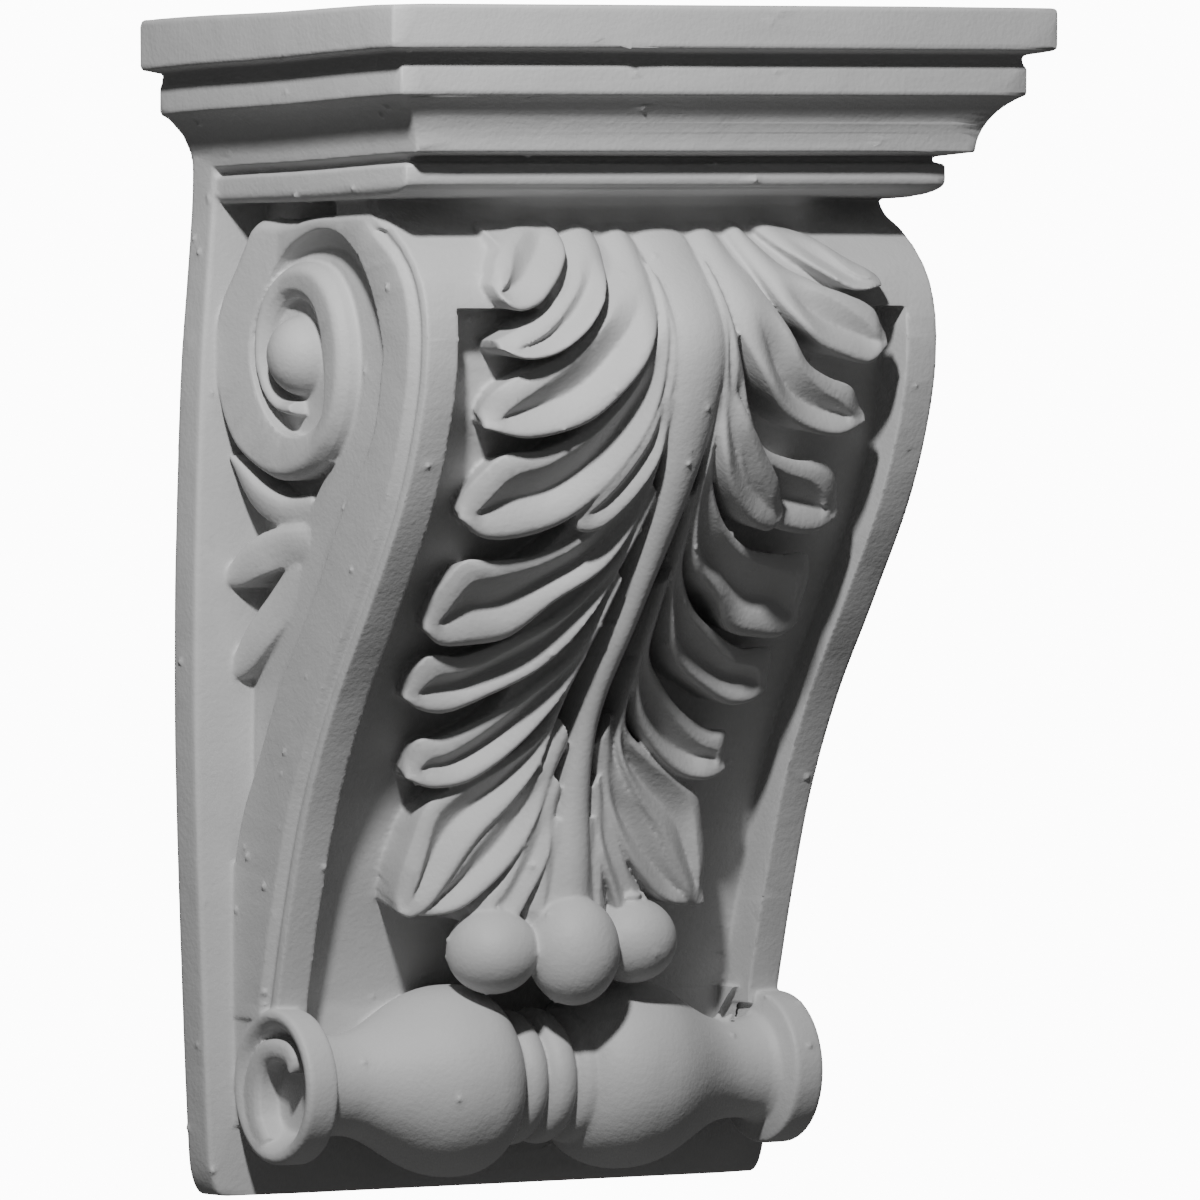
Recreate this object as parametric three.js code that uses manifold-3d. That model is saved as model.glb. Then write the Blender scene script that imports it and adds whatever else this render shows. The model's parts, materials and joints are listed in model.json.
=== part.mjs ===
// An ornamental wall corbel, cast in one piece: a moulded crown for a shelf, a bracket of S profile with a
// volute on each side, an acanthus leaf in the hollow of its front, three berries and a turned roll below,
// all on a thin back plate. Millimetres, +Z up, wall plane y = 0, front towards -Y, origin at the wall mount.
import * as THREE from 'three';
import { mergeVertices } from 'three/addons/utils/BufferGeometryUtils.js';
import Module from 'manifold-3d';

const wasm = await Module();
wasm.setup();

// Corners closer than this run together when pieces are joined
const weld = 0.02;

// Overall sizes
const totalHeight = 305;
const crownWidth = 197;
const crownDepth = 127.5;
const crownHeight = 43.6;
const bodyWidth = 155;
const bodyDepth = 106;
const mountHeight = 150;

// Crown mouldings, from the top down: each inset is measured in from the slab's edge
const slabHeight = 11;
const slabEdge = 0.8;
const slabRecess = 8;
const slabRecessHeight = 4;
const upperFilletInset = 5.6;
const upperFilletHeight = 5.6;
const coveInset = 14.6;
const coveRadius = 16;
const coveTopDrop = 22;
const coveBottomDrop = 36.3;
const quirkInset = 22;
const lowerFilletInset = 19.8;
const lowerFilletDrop = 39.4;
const topFall = 3.4;
const mouldingFall = 5.5;
const soffitDrop = 4;
const soffitDepth = 77.5;

// Back plate: its sides bow outward between the crown and the foot
const plateThickness = 11;
const plateWidth = 177;
const plateEdge = 1.2;
const plateFootRadius = 8;

// Front bands and sunk panel
const bandWidth = 11;
const bandChamfer = 2;
const bandChamferDepth = 3;
const panelSink = 12.5;
const panelTop = 229;
const sideFloor = 5;

// Roll at the foot, turned about a line along X
const rollForward = 30.9;
const rollHeight = 29.2;
const discRadius = 20;
const discThickness = 8.8;
const discEdge = 1.2;
const neckRadius = 12.8;
const bulgeRadius = 24.8;
const bulgeCentre = 24;
const bulgeInner = 14;
const ribRadius = 17.6;
const ribPitch = 6.4;
const ribCount = 3;
const rollSides = 20;

// The carving is drawn on a pattern of this size and stretched to the body
const patternHeight = 261.4;
const patternHalf = 77.5;
const patternPlate = 177;
const patternDepth = 106;

const bodyHeight = totalHeight - crownHeight;
const panelHalf = bodyWidth / 2 - bandWidth;
const stretchX = bodyWidth / 2 / patternHalf;
const stretchY = bodyDepth / patternDepth;
const stretchZ = bodyHeight / patternHeight;

// A point x across, forward from the wall and z up on the pattern, as a point of the part
function carved(x, forward, z) {
  return new THREE.Vector3(x * stretchX, -forward * stretchY, z * stretchZ);
}

// A smooth value against a rising key, through the given [key, value] pairs
function through(pairs) {
  const slope = pairs.map((pair, i) => {
    const before = pairs[Math.max(i - 1, 0)];
    const after = pairs[Math.min(i + 1, pairs.length - 1)];
    return (after[1] - before[1]) / (after[0] - before[0]);
  });
  return (key) => {
    const k = THREE.MathUtils.clamp(key, pairs[0][0], pairs[pairs.length - 1][0]);
    let i = 0;
    while (i < pairs.length - 2 && k > pairs[i + 1][0]) i += 1;
    const span = pairs[i + 1][0] - pairs[i][0];
    const t = (k - pairs[i][0]) / span;
    const rise = t * t * (3 - 2 * t);
    const lead = t * (1 - t) * (1 - t) * span * slope[i];
    const trail = t * t * (t - 1) * span * slope[i + 1];
    return pairs[i][1] + (pairs[i + 1][1] - pairs[i][1]) * rise + lead + trail;
  };
}

// How far the front face, the leaf's tips and the leaf's midrib stand from the wall at height z
const profileFoot = 50;
const profileTop = 258;
const front = through([[profileFoot, 30.5], [74, 37], [102, 46.6], [128, 60], [152, 76.3], [180, 94],
  [205, 103.8], [223, 106], [235, 103], [242, 97.6], [248, 89.8], [252, 82.5], [profileTop, 77.5]]);
const tipLift = through([[60, 2], [110, -1], [150, -0.5], [198, 1], [222, 6], [240, 9]]);
const crestLift = through([[60, 18], [82, 14], [102, 7.5], [122, 3.5], [145, 5.5], [185, 8], [222, 8.5],
  [240, 13], [252, 20]]);
const panel = (z) => front(z) - panelSink / stretchY;
const leafHalf = 57;

function leafFace(x, z) {
  const outward = Math.min(Math.abs(x) / leafHalf, 1);
  return front(z) + THREE.MathUtils.lerp(crestLift(z), tipLift(z), outward);
}

function manifoldFrom(vertices, triangles) {
  const geometry = new THREE.BufferGeometry().setFromPoints(vertices);
  geometry.setIndex(triangles.flat());
  return manifoldFromGeometry(geometry);
}

// A solid from a closed geometry, turned to face out, with its shared corners merged
function manifoldFromGeometry(geometry) {
  geometry.deleteAttribute('normal');
  geometry.deleteAttribute('uv');
  const merged = mergeVertices(geometry, 1e-4);
  const { position } = merged.attributes;
  const corner = (i) => new THREE.Vector3().fromBufferAttribute(position, i);
  const triangles = [];
  let volume = 0;
  for (let i = 0; i < merged.index.count; i += 3) {
    const [a, b, c] = [0, 1, 2].map((k) => merged.index.getX(i + k));
    if (a === b || b === c || c === a) continue;
    volume += corner(a).dot(corner(b).cross(corner(c)));
    triangles.push([a, b, c]);
  }
  const facing = volume > 0 ? triangles : triangles.map(([a, b, c]) => [a, c, b]);
  return new wasm.Manifold(new wasm.Mesh({
    numProp: 3,
    vertProperties: new Float32Array(position.array),
    triVerts: new Uint32Array(facing.flat()),
    tolerance: weld,
  }));
}

// A closed solid through equal rings of points, with the first and last ring capped
function loft(rings) {
  const size = rings[0].length;
  const vertices = rings.flat();
  const triangles = [];
  for (let r = 0; r < rings.length - 1; r += 1) {
    for (let i = 0; i < size; i += 1) {
      const j = (i + 1) % size;
      const low = r * size;
      const high = low + size;
      triangles.push([low + i, low + j, high + j], [low + i, high + j, high + i]);
    }
  }
  for (const [start, flip] of [[0, true], [(rings.length - 1) * size, false]]) {
    for (const [a, b, c] of capTriangles(vertices.slice(start, start + size))) {
      triangles.push(flip ? [start + a, start + c, start + b] : [start + a, start + b, start + c]);
    }
  }
  return manifoldFrom(vertices, triangles);
}

// Triangles over a ring that is nearly flat, wound the same way as the ring
function capTriangles(ring) {
  const normal = new THREE.Vector3();
  ring.forEach((point, i) => normal.add(point.clone().cross(ring[(i + 1) % ring.length])));
  normal.normalize();
  const across = new THREE.Vector3(0, 0, 1).cross(normal);
  if (across.length() < 0.1) across.set(1, 0, 0);
  across.normalize();
  const along = normal.clone().cross(across);
  const flat = ring.map((point) => new THREE.Vector2(point.dot(across), point.dot(along)));
  return THREE.ShapeUtils.triangulateShape(flat, []);
}

// A block of rectangles stacked downward: half width and forward reach at each height
function stack(levels) {
  return loft(levels.map(({ half, reach, z, fall }) => [
    new THREE.Vector3(-half, 0, z - fall),
    new THREE.Vector3(-half, -reach, z - fall * (1 - reach / crownDepth)),
    new THREE.Vector3(half, -reach, z - fall * (1 - reach / crownDepth)),
    new THREE.Vector3(half, 0, z - fall),
  ]));
}

function crown() {
  const level = (inset, drop, fall) => ({
    half: crownWidth / 2 - inset, reach: crownDepth - inset, z: totalHeight - drop, fall,
  });
  const recessDrop = slabHeight + slabRecessHeight;
  const coveSteps = 5;
  const coveTopAngle = Math.asin((coveBottomDrop - coveTopDrop) / coveRadius);
  const cove = [];
  for (let i = 0; i <= coveSteps; i += 1) {
    const angle = coveTopAngle * (1 - i / coveSteps);
    const inset = coveInset - coveRadius * (1 - Math.cos(angle));
    cove.push(level(inset, coveBottomDrop - coveRadius * Math.sin(angle), mouldingFall));
  }
  return stack([
    level(slabEdge, 0, topFall),
    level(0, slabEdge, topFall),
    level(0, slabHeight - slabEdge, mouldingFall),
    level(slabEdge, slabHeight, mouldingFall),
    level(slabRecess, slabHeight + slabEdge, mouldingFall),
    level(slabRecess - slabEdge, recessDrop, mouldingFall),
    level(upperFilletInset, recessDrop, mouldingFall),
    level(upperFilletInset, recessDrop + upperFilletHeight, mouldingFall),
    ...cove,
    level(quirkInset, coveBottomDrop + slabEdge, mouldingFall),
    level(lowerFilletInset, lowerFilletDrop, mouldingFall),
    level(lowerFilletInset, crownHeight, mouldingFall),
    { half: bodyWidth / 2, reach: soffitDepth, z: bodyHeight - soffitDrop, fall: mouldingFall / 2 },
    { half: panelHalf, reach: soffitDepth, z: bodyHeight - 2 * soffitDrop, fall: 0 },
  ]);
}

// Half the plate's width at height z: widest below the middle, and narrow again under the crown
const plateHalf = through([[0, 83], [11, 84.3], [50, 86.2], [112, 88.3], [150, 88.5], [181, 87.6],
  [213, 86.3], [233, 84.8], [254, 83], [284, 82.2]]);

function backPlate() {
  const head = totalHeight - crownHeight / 2;
  const steps = 12;
  const halfAt = (z) => {
    const corner = Math.max(0, 1 - z / plateFootRadius);
    const rounded = plateFootRadius * 0.35 * (1 - Math.sqrt(1 - corner * corner));
    return plateHalf(z / stretchZ) * (plateWidth / patternPlate) - rounded;
  };
  const heights = [0, plateFootRadius * 0.15, plateFootRadius * 0.45];
  for (let i = 0; i <= steps; i += 1) heights.push(THREE.MathUtils.lerp(plateFootRadius, head, i / steps));
  return loft(heights.map((z) => {
    const half = halfAt(z);
    const shoulder = plateThickness - plateEdge;
    return [
      new THREE.Vector3(-half - plateEdge / 2, 0, z),
      new THREE.Vector3(-half, -shoulder, z),
      new THREE.Vector3(-half + plateEdge, -plateThickness, z),
      new THREE.Vector3(half - plateEdge, -plateThickness, z),
      new THREE.Vector3(half, -shoulder, z),
      new THREE.Vector3(half + plateEdge / 2, 0, z),
    ];
  }));
}

// The core behind the panel and the frieze above it
function core() {
  const outline = [];
  const coreBack = 4;
  const coreFoot = 20;
  const panelSteps = 13;
  const friezeSteps = 5;
  outline.push([coreBack, coreFoot], [panel(profileFoot) - 2, coreFoot]);
  for (let i = 0; i <= panelSteps; i += 1) {
    const z = THREE.MathUtils.lerp(profileFoot, panelTop, i / panelSteps);
    outline.push([panel(z), z]);
  }
  for (let i = 0; i <= friezeSteps; i += 1) {
    const z = THREE.MathUtils.lerp(panelTop, profileTop, i / friezeSteps);
    outline.push([front(z), z]);
  }
  outline.push([coreBack, profileTop]);
  const half = (panelHalf + 0.5) / stretchX;
  return loft([-half, half].map((x) => outline.map(([forward, z]) => carved(x, forward, z))));
}

// The neck at full width under the crown, in front of the recess over each volute
function neck() {
  const neckBack = 62;
  const neckFoot = 248.5;
  const outline = [[neckBack, neckFoot], [front(neckFoot) - 1, neckFoot], [front(shoulderZ), shoulderZ],
    [front(profileTop), profileTop], [neckBack, profileTop]];
  const half = patternHalf - 0.7;
  return loft([-half, half].map((x) => outline.map(([forward, z]) => carved(x, forward, z))));
}

// Side relief: the volute's eye, and the outer and inner edge of its band by angle in degrees, from the
// front edge over the top and round towards the eye
const eye = { forward: 37, z: 217, radius: 11, rise: 3.5 };
const outerRadius = through([[0, 68], [20, 65.4], [38, 57], [54, 43.5], [80, 35.5], [135, 35], [180, 36.5],
  [225, 36], [270, 32.5], [315, 30.8], [360, 28.5], [405, 27], [450, 22], [495, 18], [540, 16], [640, 16]]);
const innerRadius = through([[0, 49.5], [45, 41.5], [80, 28.5], [120, 19], [180, 16.8], [225, 17.4],
  [270, 21], [310, 22.5], [335, 19], [360, 15.5], [405, 15.3], [450, 13.6], [495, 12.2], [540, 11.4],
  [640, 12.6]]);
const stemRidge = through([[96, 15], [112, 23.7], [133, 35.4], [154, 51], [175, 64.5], [196, 81],
  [217, 86.5]]);
const stemBack = through([[96, 12], [133, 12], [154, 29], [175, 40], [190, 53], [200, 62], [217, 65.5]]);
const sideFace = patternHalf;
const bandTop = sideFace;
const voluteChamfer = 3;
const channelTop = sideFace - sideFloor;
const sunk = panelHalf / stretchX;
const stemFoot = 22;
const stemBase = 96;
const stemRootForward = 8;
const shoulder = 38;
const shoulderZ = 251.5;
const bandTurns = 640;
const channelStart = 6;
const channelEnd = 18;

function volutePoint(radius, degrees) {
  const angle = THREE.MathUtils.degToRad(degrees);
  return [eye.forward + radius * Math.cos(angle), eye.z + radius * Math.sin(angle)];
}

// Stations along the band: up the stem, then round the volute
function bandStations() {
  const stations = [];
  const stemSteps = 13;
  for (let i = 0; i < stemSteps; i += 1) {
    const z = THREE.MathUtils.lerp(stemFoot, eye.z, i / stemSteps);
    const outer = [front(Math.max(z, profileFoot)), z];
    const inner = [z < stemBase ? stemRootForward : stemRidge(z), z];
    stations.push({ outer, inner, back: [z < stemBase ? stemRootForward : stemBack(z), z], stem: true });
  }
  for (let degrees = 0; degrees <= bandTurns; degrees += degrees < 360 ? 20 : 28) {
    const stem = degrees < shoulder;
    const z = THREE.MathUtils.lerp(eye.z, shoulderZ, degrees / shoulder);
    stations.push({
      outer: stem ? [front(z), z] : volutePoint(outerRadius(degrees), degrees),
      inner: volutePoint(innerRadius(degrees), degrees),
      back: volutePoint(outerRadius(degrees + 360), degrees),
      stem,
    });
  }
  return stations;
}

function between(a, b, share) {
  return [THREE.MathUtils.lerp(a[0], b[0], share), THREE.MathUtils.lerp(a[1], b[1], share)];
}

function band(side) {
  return loft(bandStations().map(({ outer, inner, stem }) => {
    const breadth = Math.hypot(outer[0] - inner[0], outer[1] - inner[1]);
    const edge = between(outer, inner, Math.min(bandChamferDepth / breadth, 0.4));
    return [
      carved(side * sunk, outer[0], outer[1]),
      carved(side * (bandTop - (stem ? bandChamfer : voluteChamfer)), outer[0], outer[1]),
      carved(side * bandTop, edge[0], edge[1]),
      carved(side * (bandTop - 0.6), inner[0], inner[1]),
      carved(side * sunk, inner[0], inner[1]),
    ];
  }));
}

function channel(side) {
  const stations = bandStations().slice(channelStart, channelEnd);
  return loft(stations.map(({ inner, back }) => {
    const middle = between(inner, back, 0.5);
    const lip = between(inner, back, -0.1);
    const far = between(inner, back, 1.1);
    return [
      carved(side * (sunk - 2), lip[0], lip[1]),
      carved(side * (channelTop + 3), lip[0], lip[1]),
      carved(side * channelTop, middle[0], middle[1]),
      carved(side * (channelTop - 1.5), far[0], far[1]),
      carved(side * (sunk - 2), far[0], far[1]),
    ];
  }));
}

// A squashed ball, with its centre given on the pattern
function ball(x, forward, z, radiusX, radiusZ, sides) {
  const geometry = new THREE.SphereGeometry(1, sides, Math.round(sides * 0.6));
  const centre = carved(x, forward, z);
  geometry.rotateX(Math.PI / 2);
  geometry.scale(radiusX, radiusX, radiusZ);
  geometry.translate(centre.x, centre.y, centre.z);
  return manifoldFromGeometry(geometry);
}

// The sunk ground that the volute's inner turns wind over
function voluteGround(side) {
  const sides = 20;
  const ring = (radius, x) => Array.from({ length: sides }, (_, i) => {
    const [forward, z] = volutePoint(radius, (360 * i) / sides);
    return carved(side * x, forward, z);
  });
  return loft([ring(30, sunk - 2), ring(30, channelTop - 2.5), ring(22, channelTop - 2)]);
}

function voluteEye(side) {
  return ball(side * (bandTop - eye.radius + eye.rise), eye.forward, eye.z, eye.radius, eye.radius, 12);
}

// A lobe of the leaf: a spoon that runs out along its line and curls up at its lower rim
function lobe(side, { line, stem, width, cup = 3, tilt = 2.5 }) {
  const path = new THREE.SplineCurve(line.map(([x, z]) => new THREE.Vector2(x, z)));
  const steps = width > 10 ? 5 : 4;
  const undercut = width > 10 ? 0.13 : 0.06;
  const rings = [];
  for (let i = 0; i <= steps; i += 1) {
    const t = Math.sin((Math.PI / 2) * (i / steps));
    const at = path.getPoint(t);
    const along = path.getTangent(t);
    const open = THREE.MathUtils.smoothstep(t, 0.1, 0.6);
    const tip = Math.sqrt(Math.max(0.02, 1 - (Math.max(0, t - 0.72) / 0.28) ** 2));
    const half = (THREE.MathUtils.lerp(stem, width, open) / 2) * tip;
    const dip = cup * open * tip;
    const point = (v, lift) => {
      const x = at.x + along.y * v * half * -1;
      const z = at.y + along.x * v * half;
      return [x, leafFace(x, z) + lift - v * tilt * open, z];
    };
    const root = path.getPoint(t * (1 - undercut * t));
    const rooted = (v) => {
      const x = root.x - along.y * v * half;
      const z = root.y + along.x * v * half;
      return carved(side * x, panel(Math.min(z, panelTop)) - 2, z);
    };
    const surface = (v, lift) => {
      const [x, forward, z] = point(v, lift);
      return carved(side * x, forward, z);
    };
    rings.push([rooted(0.7), surface(1, -2.4), surface(0.82, 0), surface(0.1, -dip), surface(-0.78, 0),
      surface(-1, -1.6), rooted(-0.72)]);
  }
  return loft(rings);
}

const lobes = [
  { line: [[38, 254], [41, 245], [47, 238], [60, 234]], stem: 9, width: 17, cup: 2 },
  { line: [[27, 254], [27, 241], [36, 229], [48, 221], [58, 218]], stem: 9, width: 17 },
  { line: [[15, 254], [15, 238], [23, 222], [39, 208], [58, 200]], stem: 9, width: 19 },
  { line: [[11, 223], [13, 213], [26, 198], [44, 192]], stem: 4, width: 7, cup: 1 },
  { line: [[10, 222], [12, 206], [20, 192], [38, 180], [58, 176]], stem: 5, width: 20 },
  { line: [[8, 201], [9, 191], [15, 180], [25, 172]], stem: 4, width: 6, cup: 1 },
  { line: [[8, 200], [9, 178], [18, 164], [38, 153], [58, 148]], stem: 5, width: 20 },
  { line: [[7, 178], [10, 155], [22, 140], [40, 131], [54, 128]], stem: 5, width: 15 },
  { line: [[7, 158], [9, 134], [20, 121], [36, 112], [49, 107]], stem: 5, width: 14 },
  { line: [[8, 136], [13, 118], [26, 102], [39, 90], [49, 75]], stem: 5, width: 12, cup: 2 },
  { line: [[8, 118], [16, 101], [29, 86], [41, 73]], stem: 5, width: 11, cup: 2 },
  { line: [[8, 106], [15, 90], [23, 80], [32, 73]], stem: 5, width: 10, cup: 2 },
  { line: [[7, 96], [10, 84], [16, 71]], stem: 5, width: 9, cup: 1.5 },
];

const midribFoot = 68;
const midribTop = 254;
const midribHalf = through([[midribFoot, 5], [94, 4.6], [107, 3.8], [128, 2.8], [150, 2.8], [175, 4],
  [200, 6.5], [220, 8.2], [245, 7.2], [midribTop, 6.5]]);

function midrib() {
  const steps = 15;
  const rings = [];
  for (let i = 0; i <= steps; i += 1) {
    const z = THREE.MathUtils.lerp(midribFoot, midribTop, i / steps);
    const half = midribHalf(z);
    const top = leafFace(0, z) + 1.5;
    const root = panel(Math.min(z, panelTop)) - 2;
    rings.push([carved(-half, root, z), carved(-half, top - 4, z), carved(-half * 0.45, top - 0.4, z),
      carved(half * 0.45, top - 0.4, z), carved(half, top - 4, z), carved(half, root, z)]);
  }
  return loft(rings);
}

// Three berries below the leaf: forward from the wall, height, radius and half height of each size
const berries = {
  sideX: 20.3,
  side: { forward: 45.5, z: 63.7, radius: 12, half: 11.2 },
  middle: { forward: 52, z: 63, radius: 12, half: 14.2 },
};

function berry(x, { forward, z, radius, half }) {
  return ball(x, forward, z, radius, half, 12);
}

// A leaflet in the corner between the volute's stem and the plate, along [forward, z, x] points
function leaflet(side, { line, width }) {
  const path = new THREE.CatmullRomCurve3(line.map(([forward, z, x]) => new THREE.Vector3(x, forward, z)));
  const steps = 5;
  const rings = [];
  for (let i = 0; i <= steps; i += 1) {
    const t = Math.sin((Math.PI / 2) * (i / steps));
    const at = path.getPoint(t);
    const along = path.getTangent(t);
    const flat = Math.hypot(along.y, along.z);
    const half = (width / 2) * Math.sqrt(Math.max(0.03, 1 - Math.max(0, (t - 0.45) / 0.55) ** 2));
    const point = (v, drop) => carved(side * (at.x - drop), at.y - (along.z / flat) * v * half,
      at.z + (along.y / flat) * v * half);
    rings.push([point(-1, at.x - sunk + 2), point(-1, 1.2), point(-0.3, 0), point(0.3, 0.8), point(1, 0),
      point(1, at.x - sunk + 2)]);
  }
  return loft(rings);
}

const leaflets = [
  { line: [[40, 177, 71], [29, 176, 73], [20, 180, 76], [12, 189, 78]], width: 6 },
  { line: [[38, 170, 71], [28, 169, 73], [19, 166, 76], [12, 161, 78]], width: 8 },
  { line: [[33, 164, 70.5], [25, 155, 72], [18, 146, 74], [12, 138, 75.5]], width: 7 },
];

// The sunk spiral in the face of each disc: a pocket, and the curl left standing in it
const spiral = {
  forward: 34.3, z: 30.8, halfForward: 7.8, halfHeight: 12.6, depth: 7, curl: 6, curlRise: 5.6,
};

function discPocket(side) {
  const sides = 16;
  const ring = (share, x) => Array.from({ length: sides }, (_, i) => {
    const angle = (2 * Math.PI * i) / sides;
    return carved(side * x, spiral.forward + spiral.halfForward * share * Math.cos(angle),
      spiral.z + spiral.halfHeight * share * Math.sin(angle));
  });
  return loft([ring(0.85, patternHalf - spiral.depth), ring(1, patternHalf + 0.5)]);
}

function discCurl(side) {
  const x = side * (patternHalf - spiral.depth + 1);
  return ball(x, spiral.forward + 1, spiral.z + spiral.curlRise, spiral.curl, spiral.curl, 10);
}

// The roll: discs at its ends, necks, two bulges and the ribs between them
function roll() {
  const half = bodyWidth / 2;
  const discIn = half - discThickness;
  const points = [[half, 0], [half, discRadius - discEdge], [half - discEdge, discRadius],
    [discIn + discEdge, discRadius], [discIn, discRadius - discEdge], [discIn - 1, neckRadius + 1.2],
    [discIn - 7, neckRadius]];
  const slopeSteps = 5;
  const bulgeOuter = discIn - 9 - bulgeCentre;
  for (let i = 1; i <= slopeSteps; i += 1) {
    const t = i / slopeSteps;
    const rise = THREE.MathUtils.smootherstep(t, 0, 1) ** 0.8;
    points.push([bulgeCentre + bulgeOuter * (1 - t), THREE.MathUtils.lerp(neckRadius, bulgeRadius, rise)]);
  }
  const innerSteps = 4;
  for (let i = 1; i <= innerSteps; i += 1) {
    const angle = (Math.PI / 2) * 0.86 * (i / innerSteps);
    points.push([bulgeCentre - bulgeInner * Math.sin(angle), bulgeRadius * Math.cos(angle) ** 0.55]);
  }
  const ribFoot = ribRadius - ribPitch / 2;
  const ribs = [];
  for (let r = ribCount - 1; r >= 0; r -= 1) {
    const centre = (r - (ribCount - 1) / 2) * ribPitch;
    const flank = ribPitch * 0.28;
    ribs.push([centre + ribPitch * 0.46, ribFoot], [centre + flank, ribRadius - 0.8], [centre, ribRadius],
      [centre - flank, ribRadius - 0.8]);
  }
  const right = points.filter(([x, r]) => x > ribs[0][0] + 0.4 || r > ribRadius);
  const left = right.map(([x, r]) => [-x, r]).reverse();
  const profile = [...right, ...ribs, [-ribs[0][0], ribFoot], ...left];
  const geometry = new THREE.LatheGeometry(profile.map(([x, r]) => new THREE.Vector2(r, x)), rollSides);
  geometry.rotateZ(-Math.PI / 2);
  geometry.rotateX(Math.PI / rollSides);
  geometry.translate(0, -rollForward, rollHeight);
  return manifoldFromGeometry(geometry);
}

function corbelSolid() {
  const pieces = [backPlate(), core(), neck(), midrib()];
  for (const side of [-1, 1]) {
    for (const spec of leaflets) pieces.push(leaflet(side, spec));
    pieces.push(band(side), channel(side), voluteGround(side), voluteEye(side));
    for (const spec of lobes) pieces.push(lobe(side, spec));
    pieces.push(berry(side * berries.sideX, berries.side));
  }
  pieces.push(berry(0, berries.middle));
  let whole = pieces.reduce((joined, piece) => joined.add(piece), crown().add(roll()));
  for (const side of [-1, 1]) whole = whole.subtract(discPocket(side)).add(discCurl(side));
  return whole;
}

// The outer skin alone: small pockets closed in between overlapping lobes are solid in the casting
function outerSkin(mesh) {
  const leader = Array.from({ length: mesh.vertProperties.length / 3 }, (_, i) => i);
  const find = (i) => {
    let root = i;
    while (leader[root] !== root) root = leader[root];
    leader[i] = root;
    return root;
  };
  const corners = Array.from(mesh.triVerts);
  for (let i = 0; i < corners.length; i += 3) {
    leader[find(corners[i + 1])] = find(corners[i]);
    leader[find(corners[i + 2])] = find(corners[i]);
  }
  const counts = new Map();
  for (const corner of corners) counts.set(find(corner), (counts.get(find(corner)) ?? 0) + 1);
  const [largest] = [...counts.entries()].sort((a, b) => b[1] - a[1])[0];
  return corners.filter((corner) => find(corner) === largest);
}

function geometryOf(solid) {
  const mesh = solid.getMesh();
  const geometry = new THREE.BufferGeometry();
  geometry.setAttribute('position', new THREE.BufferAttribute(mesh.vertProperties, 3));
  geometry.setIndex(outerSkin(mesh));
  geometry.computeVertexNormals();
  return geometry;
}

const primer = new THREE.MeshStandardMaterial({ color: 0x9a9a9a, roughness: 0.75, metalness: 0 });
const corbel = new THREE.Mesh(geometryOf(corbelSolid()), primer);
corbel.name = 'corbel_casting';
corbel.position.z = -mountHeight;

const part = new THREE.Group();
part.add(corbel);
export default part;
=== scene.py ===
import json
import math

import bmesh
import bpy
import numpy as np
from bpy.props import FloatProperty, IntProperty, PointerProperty, StringProperty
from mathutils import Matrix, Vector

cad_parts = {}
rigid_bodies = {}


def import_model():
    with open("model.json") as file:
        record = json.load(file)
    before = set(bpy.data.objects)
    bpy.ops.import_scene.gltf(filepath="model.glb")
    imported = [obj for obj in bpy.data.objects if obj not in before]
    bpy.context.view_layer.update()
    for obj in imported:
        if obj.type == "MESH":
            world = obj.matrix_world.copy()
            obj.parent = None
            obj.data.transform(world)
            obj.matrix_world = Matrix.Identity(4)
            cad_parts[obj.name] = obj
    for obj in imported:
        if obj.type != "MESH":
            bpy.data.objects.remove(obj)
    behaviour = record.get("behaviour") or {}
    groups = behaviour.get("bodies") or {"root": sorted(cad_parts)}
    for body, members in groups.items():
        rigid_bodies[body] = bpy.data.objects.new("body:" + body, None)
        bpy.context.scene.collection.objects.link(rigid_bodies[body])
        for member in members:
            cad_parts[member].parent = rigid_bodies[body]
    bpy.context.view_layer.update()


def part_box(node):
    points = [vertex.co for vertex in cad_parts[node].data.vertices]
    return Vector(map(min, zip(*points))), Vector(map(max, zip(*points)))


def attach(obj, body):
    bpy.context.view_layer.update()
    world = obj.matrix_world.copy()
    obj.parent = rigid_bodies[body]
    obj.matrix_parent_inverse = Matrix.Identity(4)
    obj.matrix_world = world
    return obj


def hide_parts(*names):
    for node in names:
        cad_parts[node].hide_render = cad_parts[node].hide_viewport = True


bl_info = {
    "name": "Acanthus Wall Corbel",
    "version": (1, 0, 0),
    "blender": (4, 5, 0),
    "location": "3D View > Sidebar > Corbel",
    "description": "Builds a primed wall corbel with volutes, an acanthus leaf, berries and a turned roll",
    "category": "Add Mesh",
}

# The frame's casting gives the overall sizes. Everything below is in millimetres from its foot and wall face
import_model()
low_corner, high_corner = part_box("corbel_casting")
MM = 0.001
FOOT = low_corner[2] / MM
HEIGHT = (high_corner[2] - low_corner[2]) / MM
WIDTH = (high_corner[0] - low_corner[0]) / MM
DEPTH = (high_corner[1] - low_corner[1]) / MM

# Levels of the casting, in millimetres above its foot
CROWN_FOOT = 261.4
PANEL_TOP = 229.0
PROFILE_FOOT = 50.0
PROFILE_TOP = 258.0
LEAF_TOP = 253.5
STEMS_TOP = 253

# Half the width of the hollow that sweeps up to the crown, and of the leaf's main surface
SWEEP_HALF = 66
LEAF_HALF = 57.0


def metres(points):
    """Turns millimetres (x across, forward from the wall, z above the foot) into the frame's metres."""
    points = np.asarray(points, dtype=float)
    across, forward, up = points[..., 0], points[..., 1], points[..., 2]
    return np.stack([across, -forward, up + FOOT], axis=-1) * MM


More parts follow.
